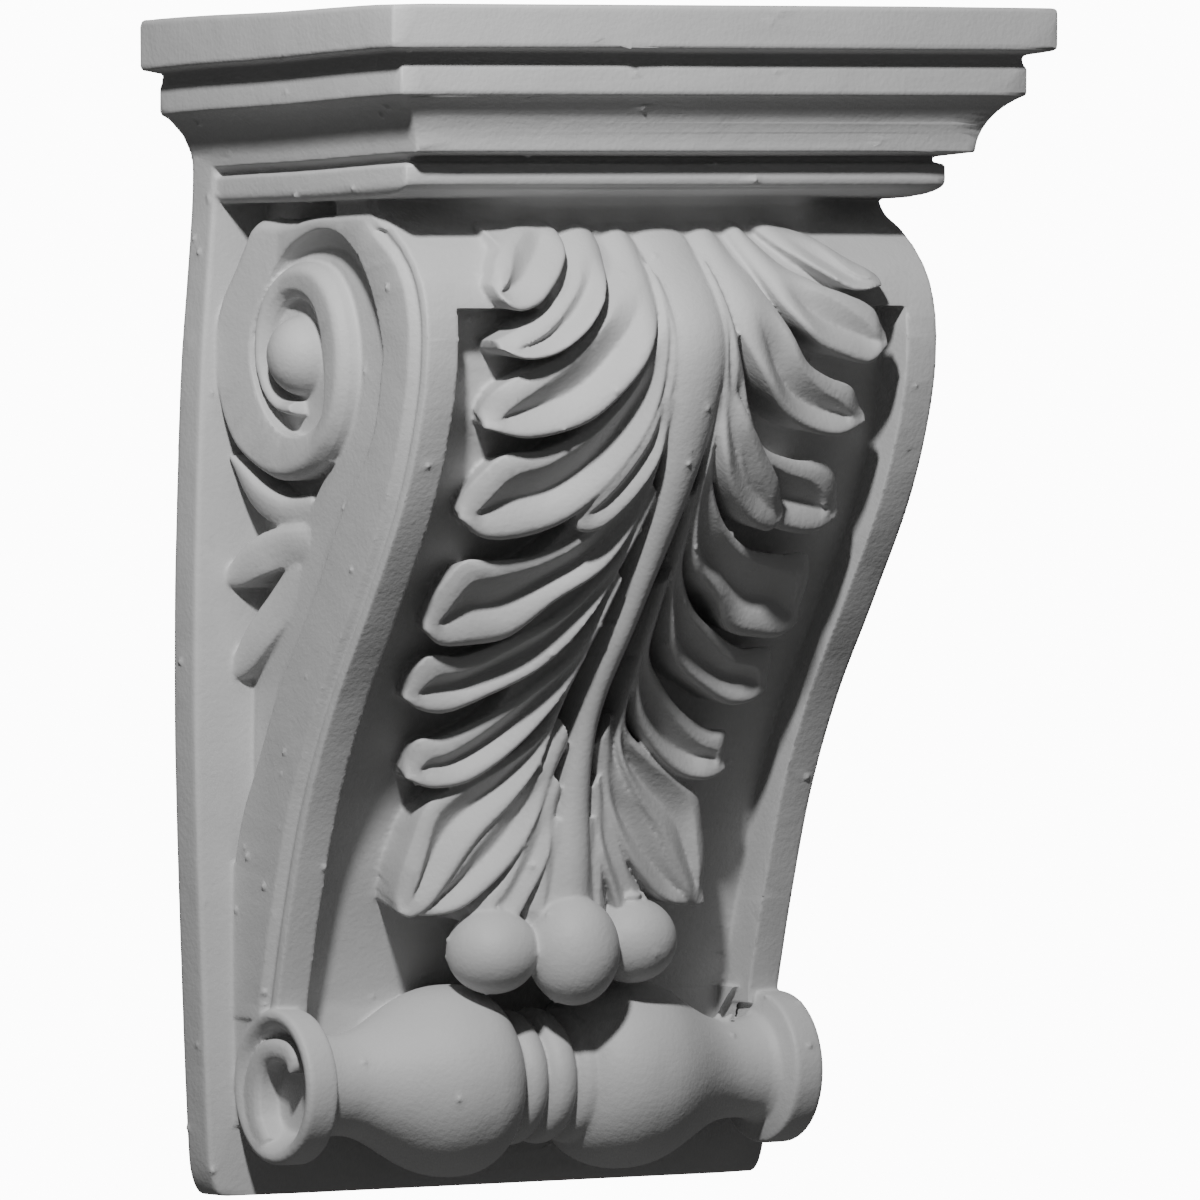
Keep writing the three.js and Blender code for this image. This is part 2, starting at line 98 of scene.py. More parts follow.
def through(pairs):
    """A smooth curve through (key, value) pairs, as a function of an array of keys."""
    keys, values = np.array(pairs, dtype=float).T
    before = np.r_[0, np.arange(len(keys) - 1)]
    after = np.r_[np.arange(1, len(keys)), len(keys) - 1]
    slopes = (values[after] - values[before]) / (keys[after] - keys[before])

    def at(key):
        key = np.clip(np.asarray(key, dtype=float), keys[0], keys[-1])
        i = np.clip(np.searchsorted(keys, key, side="right") - 1, 0, len(keys) - 2)
        span = keys[i + 1] - keys[i]
        t = (key - keys[i]) / span
        blend = t * t * (3 - 2 * t)
        lead = t * (1 - t) ** 2 * span * slopes[i]
        trail = t * t * (t - 1) * span * slopes[i + 1]
        return values[i] + (values[i + 1] - values[i]) * blend + lead + trail

    return at


def ease(value, start, end):
    """0 before start, 1 after end, and smooth between them."""
    t = np.clip((np.asarray(value, dtype=float) - start) / (end - start), 0, 1)
    return t * t * (3 - 2 * t)


def spline(points, count, crowd=1.0):
    """A smooth path through points, as count points and their shares of the way along it."""
    points = np.array(points, dtype=float)
    steps = np.r_[0, np.cumsum(np.linalg.norm(np.diff(points, axis=0), axis=1) ** 0.5)]
    share = np.linspace(0, 1, count) ** crowd
    padded = np.vstack([2 * points[0] - points[1], points, 2 * points[-1] - points[-2]])
    knots = np.r_[-steps[1], steps, 2 * steps[-1] - steps[-2]]
    fine = np.linspace(0, steps[-1], 400)
    i = np.clip(np.searchsorted(steps, fine, side="right") - 1, 0, len(points) - 2)
    t0, t1, t2, t3 = (knots[i + k][:, None] for k in range(4))
    p0, p1, p2, p3 = (padded[i + k] for k in range(4))
    u = fine[:, None]
    a1 = (t1 - u) / (t1 - t0) * p0 + (u - t0) / (t1 - t0) * p1
    a2 = (t2 - u) / (t2 - t1) * p1 + (u - t1) / (t2 - t1) * p2
    a3 = (t3 - u) / (t3 - t2) * p2 + (u - t2) / (t3 - t2) * p3
    b1 = (t2 - u) / (t2 - t0) * a1 + (u - t0) / (t2 - t0) * a2
    b2 = (t3 - u) / (t3 - t1) * a2 + (u - t1) / (t3 - t1) * a3
    path = (t2 - u) / (t2 - t1) * b1 + (u - t1) / (t2 - t1) * b2
    length = np.r_[0, np.cumsum(np.linalg.norm(np.diff(path, axis=0), axis=1))]
    at = share * length[-1]
    return np.stack([np.interp(at, length, path[:, k]) for k in range(path.shape[1])], axis=1), share


def new_object(name, vertices, faces):
    """A mesh object in the frame's metres, facing out, from millimetre points and faces."""
    mesh = bpy.data.meshes.new(name)
    mesh.from_pydata(metres(vertices).tolist(), [], faces)
    shape = bmesh.new()
    shape.from_mesh(mesh)
    bmesh.ops.remove_doubles(shape, verts=shape.verts, dist=1e-7)
    bmesh.ops.recalc_face_normals(shape, faces=shape.faces)
    shape.to_mesh(mesh)
    shape.free()
    thing = bpy.data.objects.new(name, mesh)
    bpy.context.scene.collection.objects.link(thing)
    return thing


class Clay:
    """Closed lofts gathered into one object before they are cast together."""

    def __init__(self):
        self.vertices = []
        self.faces = []

    def loft(self, rings):
        """Joins equal rings of points with quads and closes both ends with a fan."""
        rings = np.asarray(rings, dtype=float)
        count, size = rings.shape[:2]
        start = sum(len(block) for block in self.vertices)
        self.vertices.append(rings.reshape(-1, 3))
        for r in range(count - 1):
            low = start + r * size
            for i in range(size):
                j = (i + 1) % size
                self.faces.append((low + i, low + j, low + size + j, low + size + i))
        centre = start + count * size
        self.vertices.append(np.stack([rings[0].mean(axis=0), rings[-1].mean(axis=0)]))
        last = start + (count - 1) * size
        for i in range(size):
            j = (i + 1) % size
            self.faces.append((centre, start + j, start + i))
            self.faces.append((centre + 1, last + i, last + j))

    def mirrored(self, build):
        """Runs build for the left and the right side, with the sign of x."""
        for side in (-1, 1):
            build(side)

    def object(self, name):
        return new_object(name, np.vstack(self.vertices), self.faces)


# How far the front face, the leaf's tips and its midrib stand from the wall at height z
front = through([
    (PROFILE_FOOT, 30.5), (74, 37), (102, 46.6), (128, 60), (152, 76.3), (180, 94), (205, 103.8),
    (223, 106), (235, 103), (242, 97.6), (248, 89.8), (252, 82.5), (PROFILE_TOP, 77.5),
])
tip_lift = through([
    (60, 5.5), (85, 2.5), (110, -0.5), (150, -0.5), (198, 1), (222, 6), (240, 9), (256, 10),
])
crest_lift = through([
    (60, 18), (82, 14), (102, 7.5), (122, 3.5), (145, 5.5), (185, 8), (212, 8.5), (222, 7.5), (231, 4.5),
    (240, 1), (246, 2), (256, 5),
])


def panel(z, sizes):
    return front(z) - sizes.panel_sink / MM


def leaf_face(x, z):
    """The leaf's main surface: it stands highest along the middle and bows in under the crown."""
    outward = np.minimum(np.abs(x) / LEAF_HALF, 1)
    return front(z) + crest_lift(z) + (tip_lift(z) - crest_lift(z)) * outward


def length(name, description, millimetres):
    return FloatProperty(name=name, description=description, default=millimetres * MM, unit="LENGTH")


class CrownSizes(bpy.types.PropertyGroup):
    slab: length("Slab", "Height of the top slab", 11)
    recess: length("Recess", "Height of the recess below it", 4)
    cove_radius: length("Cove radius", "Radius of the hollow moulding", 16)
    fall: length("Fall", "How far the mouldings fall towards the wall", 5.5)
    top_fall: length("Top fall", "How far the top falls towards the wall", 3.4)


class BracketSizes(bpy.types.PropertyGroup):
    half: length("Half width", "Half the bracket's width", 77.5)
    band: length("Band", "Width of the flat band down each front edge", 11)
    panel_sink: length("Panel depth", "Depth of the sunk panel", 12.5)
    plate: length("Plate", "Thickness of the back plate", 11)


class RollSizes(bpy.types.PropertyGroup):
    forward: length("Forward", "Roll's axis from the wall", 30.9)
    height: length("Height", "Roll's axis above the foot", 29.2)
    disc: length("Disc radius", "Radius of the end discs", 19.8)
    neck: length("Neck radius", "Radius of the necks", 12.8)
    bulge: length("Bulge radius", "Radius of the two bulges", 24.8)
    rib: length("Rib radius", "Radius of the ribs between the bulges", 17.6)
    rib_pitch: length("Rib pitch", "Distance between ribs", 8.7)
    rib_count: IntProperty(name="Ribs", description="Number of ribs", default=3)


class CastSizes(bpy.types.PropertyGroup):
    grain: length("Grain", "Size of the cells the casting is fused from", 0.5)
    triangles: IntProperty(name="Triangles", description="Triangles kept on the finished casting",
                           default=190000)
    pimples: FloatProperty(name="Pimples", description="Pimples in a square metre of pattern",
                           default=1500.0)
    pimple_size: length("Pimple size", "Radius of the largest pimple", 0.85)
    softness: IntProperty(name="Softness", description="Smoothing passes that soften the cast edges",
                          default=2)


class FinishSizes(bpy.types.PropertyGroup):
    primer: StringProperty(name="Primer", description="Colour of the grey primer, sRGB", default="#BEBEBE")
    stipple: length("Stipple", "Size of the primer's stipple", 1.3)


class StageSizes(bpy.types.PropertyGroup):
    key: FloatProperty(name="Key", description="Power of the main light", default=8.0)
    fill: FloatProperty(name="Fill", description="Strength of the light from all round",
                        default=0.075)
    floor: StringProperty(name="Floor", description="Colour of the floor, sRGB", default="#F4F4F2")


class Corbel(bpy.types.PropertyGroup):
    crown: PointerProperty(type=CrownSizes)
    bracket: PointerProperty(type=BracketSizes)
    roll: PointerProperty(type=RollSizes)
    cast: PointerProperty(type=CastSizes)
    finish: PointerProperty(type=FinishSizes)
    stage: PointerProperty(type=StageSizes)


class CORBEL_OT_crown(bpy.types.Operator):
    """Builds the moulded crown that carries the shelf"""
    bl_idname = "corbel.crown"
    bl_label = "Crown"

    def execute(self, context):
        sizes = context.scene.corbel.crown
        fall, top_fall = sizes.fall / MM, sizes.top_fall / MM
        slab, recess, radius = sizes.slab / MM, sizes.recess / MM, sizes.cove_radius / MM
        body = context.scene.corbel.bracket.half / MM
        edge = 1.0
        cove_inset, cove_top, cove_foot = 14.4, 22.0, 36.3
        lower, lower_drop, lower_foot = (16.2, 21.0, 20.2), 39.2, HEIGHT - CROWN_FOOT
        levels = [
            (edge, 0, top_fall), (edge * 0.3, edge * 0.3, top_fall), (0, edge, top_fall),
            (0, slab - edge, fall), (edge * 0.3, slab - edge * 0.3, fall), (edge, slab, fall),
            (6.6, slab + edge, fall), (6.2, slab + recess - 0.4, fall), (5.6, slab + recess, fall),
            (5.6, slab + recess + 5.6, fall),
        ]
        top_angle = math.asin((cove_foot - cove_top) / radius)
        rings = [self.ring((inset, inset, inset), drop, sunk) for inset, drop, sunk in levels]
        for angle in np.linspace(top_angle, 0, 14):
            inset = cove_inset - radius * (1 - math.cos(angle))
            side = inset + 1.0 - angle / top_angle
            rings.append(self.ring((side, inset, side), cove_foot - radius * math.sin(angle), fall))
        deep = tuple(inset + 2.5 for inset in lower)
        rings.append(self.ring(deep, cove_foot + edge, fall))
        rings.append(self.ring(deep, lower_drop - 0.8, fall))
        rings.append(self.ring(lower, lower_drop, fall))
        rings.append(self.ring(lower, lower_foot - 0.4, fall))
        soffit_reach = 79.0
        under = (WIDTH / 2 - body, DEPTH - soffit_reach, WIDTH / 2 - body)
        for a in np.linspace(0, math.pi / 2, 10)[1:]:
            inset = tuple(u - (u - low) * math.cos(a) for u, low in zip(under, lower))
            rings.append(self.ring(inset, lower_foot + 4.4 * math.sin(a), fall * (1 - a / math.pi)))
        rings.append(self.ring(tuple(u + 10 for u in under), lower_foot + 6, 0))
        clay = Clay()
        clay.loft(rings)
        clay.object("crown")
        return {"FINISHED"}

    def ring(self, insets, drop, fall):
        """One level of the crown, set in at its left, front and right, with its two front corners eased."""
        left, front_inset, right = insets
        reach = DEPTH - front_inset
        x0, x1 = left - WIDTH / 2, WIDTH / 2 - right
        ease_by = 1.0
        corners = [(x0, 0), (x0, reach - ease_by), (x0 + 0.3 * ease_by, reach - 0.3 * ease_by),
                   (x0 + ease_by, reach), (x1 - ease_by, reach), (x1 - 0.3 * ease_by, reach - 0.3 * ease_by),
                   (x1, reach - ease_by), (x1, 0)]
        return [(x, forward, HEIGHT - drop - fall * (1 - forward / DEPTH)) for x, forward in corners]


class CORBEL_OT_plate(bpy.types.Operator):
    """Builds the thin back plate with bowed sides"""
    bl_idname = "corbel.plate"
    bl_label = "Back plate"

    def execute(self, context):
        thick = context.scene.corbel.bracket.plate / MM
        half_at = through([
            (0, 83), (11, 84.3), (50, 86.2), (112, 88.3), (150, 88.5), (181, 87.8), (213, 86.6), (233, 85),
            (254, 83.4), (264, 83.2), (284, 83.2),
        ])
        foot_round = 8.0
        heights = np.r_[foot_round * (1 - np.cos(np.linspace(0, np.pi / 2, 8))), np.linspace(10, 284, 60)]
        rings = []
        for z in heights:
            corner = max(0, 1 - z / foot_round)
            half = float(half_at(z)) - foot_round * 0.35 * (1 - math.sqrt(1 - corner ** 2))
            right = [(half - 1.2, thick), (half - 0.3, thick - 0.4), (half, thick - 1.4), (half + 0.5, 2.0),
                     (half + 0.2, 0.6), (half - 1.0, 0)]
            rings.append([(x, forward, z) for x, forward in right])
            rings[-1] += [(-x, forward, z) for x, forward in reversed(right)]
        clay = Clay()
        clay.loft(rings)
        clay.object("back_plate")
        return {"FINISHED"}


class CORBEL_OT_bracket(bpy.types.Operator):
    """Builds the sunk panel, the frieze over it and the neck under the crown"""
    bl_idname = "corbel.bracket"
    bl_label = "Bracket"

    def execute(self, context):
        sizes = context.scene.corbel.bracket
        half = sizes.half / MM
        inner = half - sizes.band / MM
        clay = Clay()
        heights = np.linspace(PROFILE_FOOT, PANEL_TOP, 60)
        outline = [(4, 20), (float(panel(PROFILE_FOOT, sizes)) - 2, 20)]
        outline += list(zip(panel(heights, sizes), heights))
        frieze = np.linspace(PANEL_TOP, PROFILE_TOP, 20)
        outline += list(zip(front(frieze), frieze))
        outline.append((4, PROFILE_TOP))
        clay.loft([[(x, forward, z) for forward, z in outline] for x in (-inner - 0.5, inner + 0.5)])
        foot = [(4, 18), (12, 18), (12.6, 34), (15, 40), (19, 45.5), (26, 50), (4, 50)]
        for side in (-1, 1):
            clay.loft([[(side * x, forward, z) for forward, z in foot] for x in (inner - 2, half - 0.7)])
        neck_z = np.linspace(248.5, PROFILE_TOP, 10)
        neck = [(62, 248.5)] + list(zip(front(neck_z), neck_z)) + [(62, PROFILE_TOP)]
        for x0, x1, back in ((2.2 - half, half - 2.2, 0.0), (0.7 - half, half - 0.7, 2.6)):
            clay.loft([[(x, max(62.0, forward - back), z) for forward, z in neck] for x in (x0, x1)])
        clay.loft([self.sweep(x) for x in np.linspace(-SWEEP_HALF, SWEEP_HALF, 45)])
        clay.object("bracket")
        return {"FINISHED"}

    def sweep(self, x):
        """One section of the hollow that sweeps up to the crown's underside, fullest in the middle."""
        full = float(ease(SWEEP_HALF - abs(x), 0, 26))
        ends = ((251, 84), (253, 81), (255, 79), (257, 77.8), (259, 77.5), (262, 78))
        middle = ((243, 96.2), (246.5, 92.6), (250, 90.4), (254, 90.2), (258, 93), (262, 99))
        curve = [(x, f0 + (f1 - f0) * full, z0 + (z1 - z0) * full)
                 for (z0, f0), (z1, f1) in zip(ends, middle)]
        return [(x, 60, curve[0][2]), *curve, (x, 60, 262)]


# The volute's centre, and the edges of its band by angle in degrees from the front over the top
EYE = (37.0, 217.0)
outer_radius = through([
    (0, 68), (20, 65.4), (38, 57), (54, 43.5), (80, 34), (100, 34), (117, 36.6), (128, 34.6), (143, 33.6),
    (158, 35.2), (180, 36.3), (225, 36), (270, 32.5),
    (315, 30.8), (360, 28.5), (405, 27), (450, 22), (495, 18), (540, 16), (640, 16),
])
inner_radius = through([
    (0, 49.5), (45, 41.5), (80, 28.5), (120, 19), (180, 16.8), (225, 17.4), (270, 21), (310, 22.5),
    (335, 19), (360, 15.5), (405, 15.3), (450, 13.6), (495, 12.2), (540, 11.4), (640, 12.6),
])
# The edges of the stem below the volute: the front of its channel, and the back of it, by height
stem_ridge = through([
    (46, 8), (72, 9), (96, 15), (112, 23.7), (133, 35.4), (154, 51), (175, 64.5), (196, 81), (217, 86.5),
])
stem_back = through([(46, 8), (96, 12), (133, 12), (154, 29), (175, 40), (190, 53), (200, 62), (217, 65.5)])
STEM_FOOT = 46.0
# The stem gives way to the volute at this angle, and at this height
SHOULDER = 38.0
SHOULDER_Z = 251.5
# The volute's face flares out behind this distance from the wall, and only above the leaflets
FLARE = 0.22
FLARE_FROM = 34.0
FLARE_BACK = 1.56
FLARE_STARTS = 182
FLARE_FULL = 194
# Which stations carry the channel, and over which ones the band turns into a rounded inner turn
CHANNEL = slice(12, 76)
TURNS_ROUND = (96, 116)


def volute_point(radius, degrees):
    angle = math.radians(degrees)
    return np.array([EYE[0] + radius * math.cos(angle), EYE[1] + radius * math.sin(angle)])


class CORBEL_OT_volutes(bpy.types.Operator):
    """Builds the scrolled band on each side, with its channel, eye and leaflets"""
    bl_idname = "corbel.volutes"
    bl_label = "Volutes"

    def execute(self, context):
        sizes = context.scene.corbel.bracket
        self.face = sizes.half / MM
        self.sunk = self.face - sizes.band / MM
        self.clay = Clay()
        self.clay.mirrored(self.side)
        self.clay.object("volutes")
        return {"FINISHED"}

    def stations(self):
        """Outer edge, inner edge, channel's back and whether it is stem, from the foot round the volute."""
        stations = []
        for z in np.linspace(STEM_FOOT, EYE[1], 48, endpoint=False):
            outer = (float(front(max(z, PROFILE_FOOT))), z)
            inner = (float(stem_ridge(z)), z)
            back = (float(stem_back(z)), z)
            stations.append((np.array(outer), np.array(inner), np.array(back), True))
        for degrees in np.arange(0, 641, 5.0):
            stem = degrees < SHOULDER
            outer = volute_point(float(outer_radius(degrees)), degrees)
            if stem:
                z = EYE[1] + (SHOULDER_Z - EYE[1]) * degrees / SHOULDER
                outer = np.array([float(front(z)), z])
            inner = volute_point(float(inner_radius(degrees)), degrees)
            back = volute_point(float(outer_radius(degrees + 360)), degrees)
            stations.append((outer, inner, back, stem))
        return stations

    def flared(self, side, x, point):
        """A point of the volute, whose face flares out towards the wall."""
        forward, z = point
        if z > FLARE_STARTS and forward < FLARE_FROM:
            forward = (forward + FLARE_BACK * FLARE * FLARE_FROM) / (1 + FLARE_BACK * FLARE)
            x += FLARE * (FLARE_FROM - forward) * float(ease(z, FLARE_STARTS, FLARE_FULL))
        return (side * x, forward, z)

    def side(self, side):
        stations = self.stations()
        band, channel = [], []
        for outer, inner, _, stem in stations:
            breadth = np.linalg.norm(inner - outer)
            share = min((6.0 if stem else 3.0) / breadth, 0.4)
            inside = float(ease(len(band), *TURNS_ROUND))
            drop = 2.0 if stem else 3.0
            bevel = [(share * 0.4, -drop * 0.35), (share * 0.7, -drop * 0.1)]
            if stem:
                bevel = [(share * 0.35, -drop * 0.75), (share * 0.68, -drop * 1.25)]
            section = [(0, -self.face + self.sunk), (0, -drop), *bevel, (share, -0.1)]
            section += [(share + (0.72 - share) * inside, -0.5 * inside), (1, -0.2 - 2.4 * inside)]
            section += [(1, -self.face + self.sunk)]
            band.append([self.flared(side, self.face + lift, outer + (inner - outer) * v)
                         for v, lift in section])
        self.clay.loft(band)
        for i, (_, inner, back, _) in enumerate(stations[CHANNEL]):
            deep = 1 - 0.45 * float(ease(i, 46, 60))
            section = [(-0.1, self.sunk - 2), (-0.1, self.face - 2.6), (0.2, self.face - 5.4 * deep),
                       (0.5, self.face - 6.6 * deep), (0.85, self.face - 6.0 * deep),
                       (1.1, self.face - 6.6 * deep), (1.1, self.sunk - 2)]
            channel.append([self.flared(side, x, inner + (back - inner) * v) for v, x in section])
        self.clay.loft(channel)
        ground = []
        for radius, x in ((30, self.sunk - 2), (30, self.face - 6.5), (22, self.face - 6)):
            ground.append([self.flared(side, x, volute_point(radius, a)) for a in np.arange(0, 360, 6)])
        self.clay.loft(ground)
        self.clay.loft(ball((side * (self.face - 6.5), EYE[0] + 0.9, EYE[1] - 0.8), (10.5, 9.9, 10.4)))
        for line, width in (
            (((40, 177, 71), (29, 176, 74), (20, 180, 77), (12, 190, 79.5)), 8.5),
            (((40, 168, 72), (28, 167, 75), (19, 163.5, 78), (10, 157, 80)), 10.5),
            (((35, 162, 72), (26, 152, 74), (18, 143, 76.5), (10, 133, 78)), 10),
        ):
            self.leaflet(side, line, width)

    def leaflet(self, side, line, width):
        path, share = spline(line, 24, 0.7)
        along = np.gradient(path, axis=0)
        flat = np.hypot(along[:, 0], along[:, 1])
        half = width / 2 * np.sqrt(np.clip(1 - np.clip((share - 0.45) / 0.55, 0, 1) ** 2, 0.02, 1))
        rings = []
        for at, step, size, broad in zip(path, along, flat, half):
            def point(v, drop):
                return (side * (at[2] - drop), at[0] - step[1] / size * v * broad,
                        at[1] + step[0] / size * v * broad)
            deep = at[2] - self.sunk + 2
            rings.append([point(-1, deep), point(-1, 1.4), point(-0.7, 0.2), point(-0.3, 0), point(0.2, 0.4),
                          point(0.7, 1.3), point(1, 2.2), point(1, deep)])
        self.clay.loft(rings)


def ball(centre, radii, around=32, up=20):
    """Rings of a ball's surface, from its foot to its top."""
    rings = []
    for a in np.linspace(-np.pi / 2 + 0.05, np.pi / 2 - 0.05, up):
        turn = np.linspace(0, 2 * np.pi, around, endpoint=False)
        ring = np.stack([np.cos(a) * np.cos(turn) * radii[0], np.cos(a) * np.sin(turn) * radii[1],
                         np.full(around, np.sin(a) * radii[2])], axis=1)
        rings.append(ring + np.array(centre))
    return rings


# Lobes of one half of the leaf, from the crown down, each between its upper and its lower edge. The edges
# run from the root to the tip as (x, z). Hollow: depth of the gouge along the lobe. Tilt: how far the lower
# edge stands out and the upper edge lies back. Opens: where along the lobe the gouge begins and is fully
# open. Sides: the halves that have it, left -1 and right 1, or both. Sunk: how far its rim lies below the
# leaf's face. Lift: how far its open part stands above that face
LOBES = (
    dict(sides=(-1,),
         upper=((-39, 253), (-43, 249.5), (-50, 245.5), (-56, 240.5), (-59, 235)),
         lower=((-29, 253), (-30, 248), (-34, 242), (-41, 235), (-47, 230), (-53, 228.5), (-57.5, 231),
                (-59, 234.5)),
         hollow=3.0, tilt=0.5, opens=(0.02, 0.3)),
    dict(sides=(1,),
         upper=((-31, 253), (-36, 249.5), (-42, 246), (-49, 241), (-56.5, 237)),
         lower=((-24, 253), (-28, 247), (-33, 242), (-38.5, 237.5), (-47, 233), (-56.5, 234)),
         hollow=1.6, tilt=0.8, opens=(0.2, 0.5)),
    dict(sides=(1,),
         upper=((-24, 253), (-26, 246), (-31, 239), (-38, 234.5), (-46, 232), (-53, 229), (-58, 223)),
         lower=((-19, 253), (-19.5, 246), (-22, 238), (-27.5, 227.5), (-35.5, 219.5), (-44, 216),
                (-52, 214.5), (-58, 219)),
         hollow=3.8, tilt=1.0, opens=(0.3, 0.55)),
    dict(sides=(-1,),
         upper=((-29, 253), (-29.5, 246), (-34, 236), (-42, 229), (-51, 224), (-57, 221)),
         lower=((-19, 253), (-19.5, 247), (-22, 240), (-28, 230.5), (-35, 222.5), (-43, 217.5),
                (-51, 216.5), (-57, 219)),
         hollow=2.8, tilt=2.0, opens=(0.15, 0.45)),
    dict(sides=(1,),
         upper=((-17, 253), (-18, 243), (-22.5, 233.5), (-28, 223.5), (-34, 215), (-42, 211),
                (-50, 208.5), (-56.5, 202)),
         lower=((-8.5, 253), (-8.5, 243), (-10, 232), (-14, 220), (-21, 209), (-29, 201), (-38, 197),
                (-48, 196), (-56.5, 199.5)),
         hollow=4.6, tilt=1.2, opens=(0.3, 0.55)),
    dict(sides=(1,),
         upper=((-9, 244), (-11, 229), (-14, 216), (-18, 203), (-25, 193.5), (-36, 190), (-48, 188.5),
                (-54, 183), (-56, 177)),
         lower=((-8, 236), (-9, 214), (-12, 200), (-20, 184), (-29, 175), (-40, 171), (-50, 171),
                (-56, 175)),
         hollow=4.8, tilt=1.0, opens=(0.25, 0.5)),
    dict(sides=(1,),
         upper=((-10, 240), (-10, 215), (-15, 203), (-23, 193.5), (-31, 185), (-36, 178)),
         lower=((-7, 236), (-7, 207), (-10, 190), (-17, 179.5), (-26, 173), (-33, 171.5), (-36, 175)),
         hollow=2.6, tilt=0.6, opens=(0.35, 0.6), lift=3.0),
    dict(sides=(-1,),
         upper=((-17, 253), (-17.5, 242), (-22, 233), (-29, 225), (-37, 218), (-46, 213.5), (-54, 209),
                (-57, 202)),
         lower=((-8.5, 253), (-8.5, 243), (-10, 232), (-14, 220), (-21, 209), (-29, 201), (-38, 197.5),
                (-47, 196.5), (-57, 199)),
         hollow=4.4, tilt=2.2, opens=(0.2, 0.5)),
    dict(sides=(-1,),
         upper=((-9, 244), (-11, 229), (-14.5, 219), (-19, 209), (-27, 199.5), (-38, 193.5), (-49, 192),
                (-55, 185), (-57, 178)),
         lower=((-8, 236), (-9, 214), (-12, 200), (-20, 184), (-29, 175), (-40, 171), (-50, 171),
                (-57, 176)),
         hollow=5.2, tilt=1.2, opens=(0.15, 0.45)),
    dict(sides=(-1,),
         upper=((-10, 240), (-9.5, 215), (-12.5, 200), (-18.5, 189.5), (-24.5, 182), (-26, 178)),
         lower=((-7, 236), (-6.5, 207), (-8.5, 190), (-14, 178.5), (-20, 172.5), (-24.5, 172.5),
                (-26, 176)),
         hollow=2.8, tilt=0.2, opens=(0.4, 0.65), lift=1.8),
    dict(upper=((-8, 212), (-10, 190), (-18, 175), (-30, 167), (-43, 165), (-51, 165), (-55, 158),
                (-56, 149)),
         lower=((-6, 200), (-8, 176), (-14, 162), (-24, 154), (-33, 145), (-43, 143), (-51, 143),
                (-56, 147)),
         hollow=4.8, tilt=1.0, opens=(0.15, 0.45)),
    dict(upper=((-7, 185), (-11, 164), (-19, 152), (-30, 145), (-42, 140), (-51, 140), (-54, 135),
                (-54.5, 130)),
         lower=((-5, 180), (-8, 162), (-12, 150), (-20, 137), (-33, 129), (-43, 125), (-50, 126),
                (-54.5, 129)),
         hollow=4.6, tilt=1.0, opens=(0.15, 0.45)),
    dict(upper=((-8, 162), (-12, 140), (-20, 131), (-31, 123), (-41, 118.5), (-46, 118), (-48, 110)),
         lower=((-6, 158), (-9, 135), (-15, 122), (-24, 112), (-33, 106.5), (-42, 105.5), (-48, 108)),
         hollow=4.0, tilt=1.2, opens=(0.15, 0.45)),
    dict(upper=((-9, 142), (-13, 121), (-23, 112), (-34, 106), (-40.5, 101), (-43.5, 92), (-45.5, 83),
                (-46, 76)),
         lower=((-8, 138), (-11, 114), (-18, 102), (-27, 92), (-34.5, 81), (-39.5, 74), (-43, 72),
                (-46, 73.5)),
         hollow=3.4, tilt=0.6, opens=(0.15, 0.4)),
    dict(upper=((-8, 124), (-12, 112), (-21, 100), (-30, 91), (-37, 83), (-42, 76)),
         lower=((-4, 116), (-10, 99), (-16, 88), (-23, 80), (-31, 74), (-39, 72.5), (-42, 73)),
         hollow=2.8, tilt=0.4, opens=(0.1, 0.4), sunk=1.6),
    dict(upper=((-8, 110), (-12, 98), (-16, 89), (-21, 82), (-27, 76)),
         lower=((-4, 104), (-7.5, 88), (-12, 78), (-17, 70), (-26, 70)),
         hollow=1.4, tilt=0.4, opens=(0.1, 0.4), sunk=1.8),
    dict(upper=((-8, 98), (-9, 88), (-11, 80), (-14, 72)),
         lower=((-2, 96), (-2.5, 84), (-3, 74), (-6, 66)),
         hollow=1.0, tilt=0.2, opens=(0.1, 0.4), sunk=2.0),
)
midrib_half = through([
    (68, 5), (94, 4.6), (107, 3.8), (128, 2.8), (150, 2.8), (175, 4), (200, 6.5), (220, 8.2), (245, 8.0),
    (256, 7.5),
])
# Along a lobe: where its hollow starts to close and ends. Across it: the rim above the hollow, the flange
# round the tip, the sunk shelf under the lobe above (left half, right half), the lower edge's crest as a
# share of the half width, and how far the surface falls outside that crest
HOLLOW_CLOSES = 0.6
HOLLOW_END = 0.92
RIM = 1.8
FLANGE = 3.8
SHELF = {-1: 5.0, 1: 1.0}
CREST = -0.8
CREST_FALL = 0.5


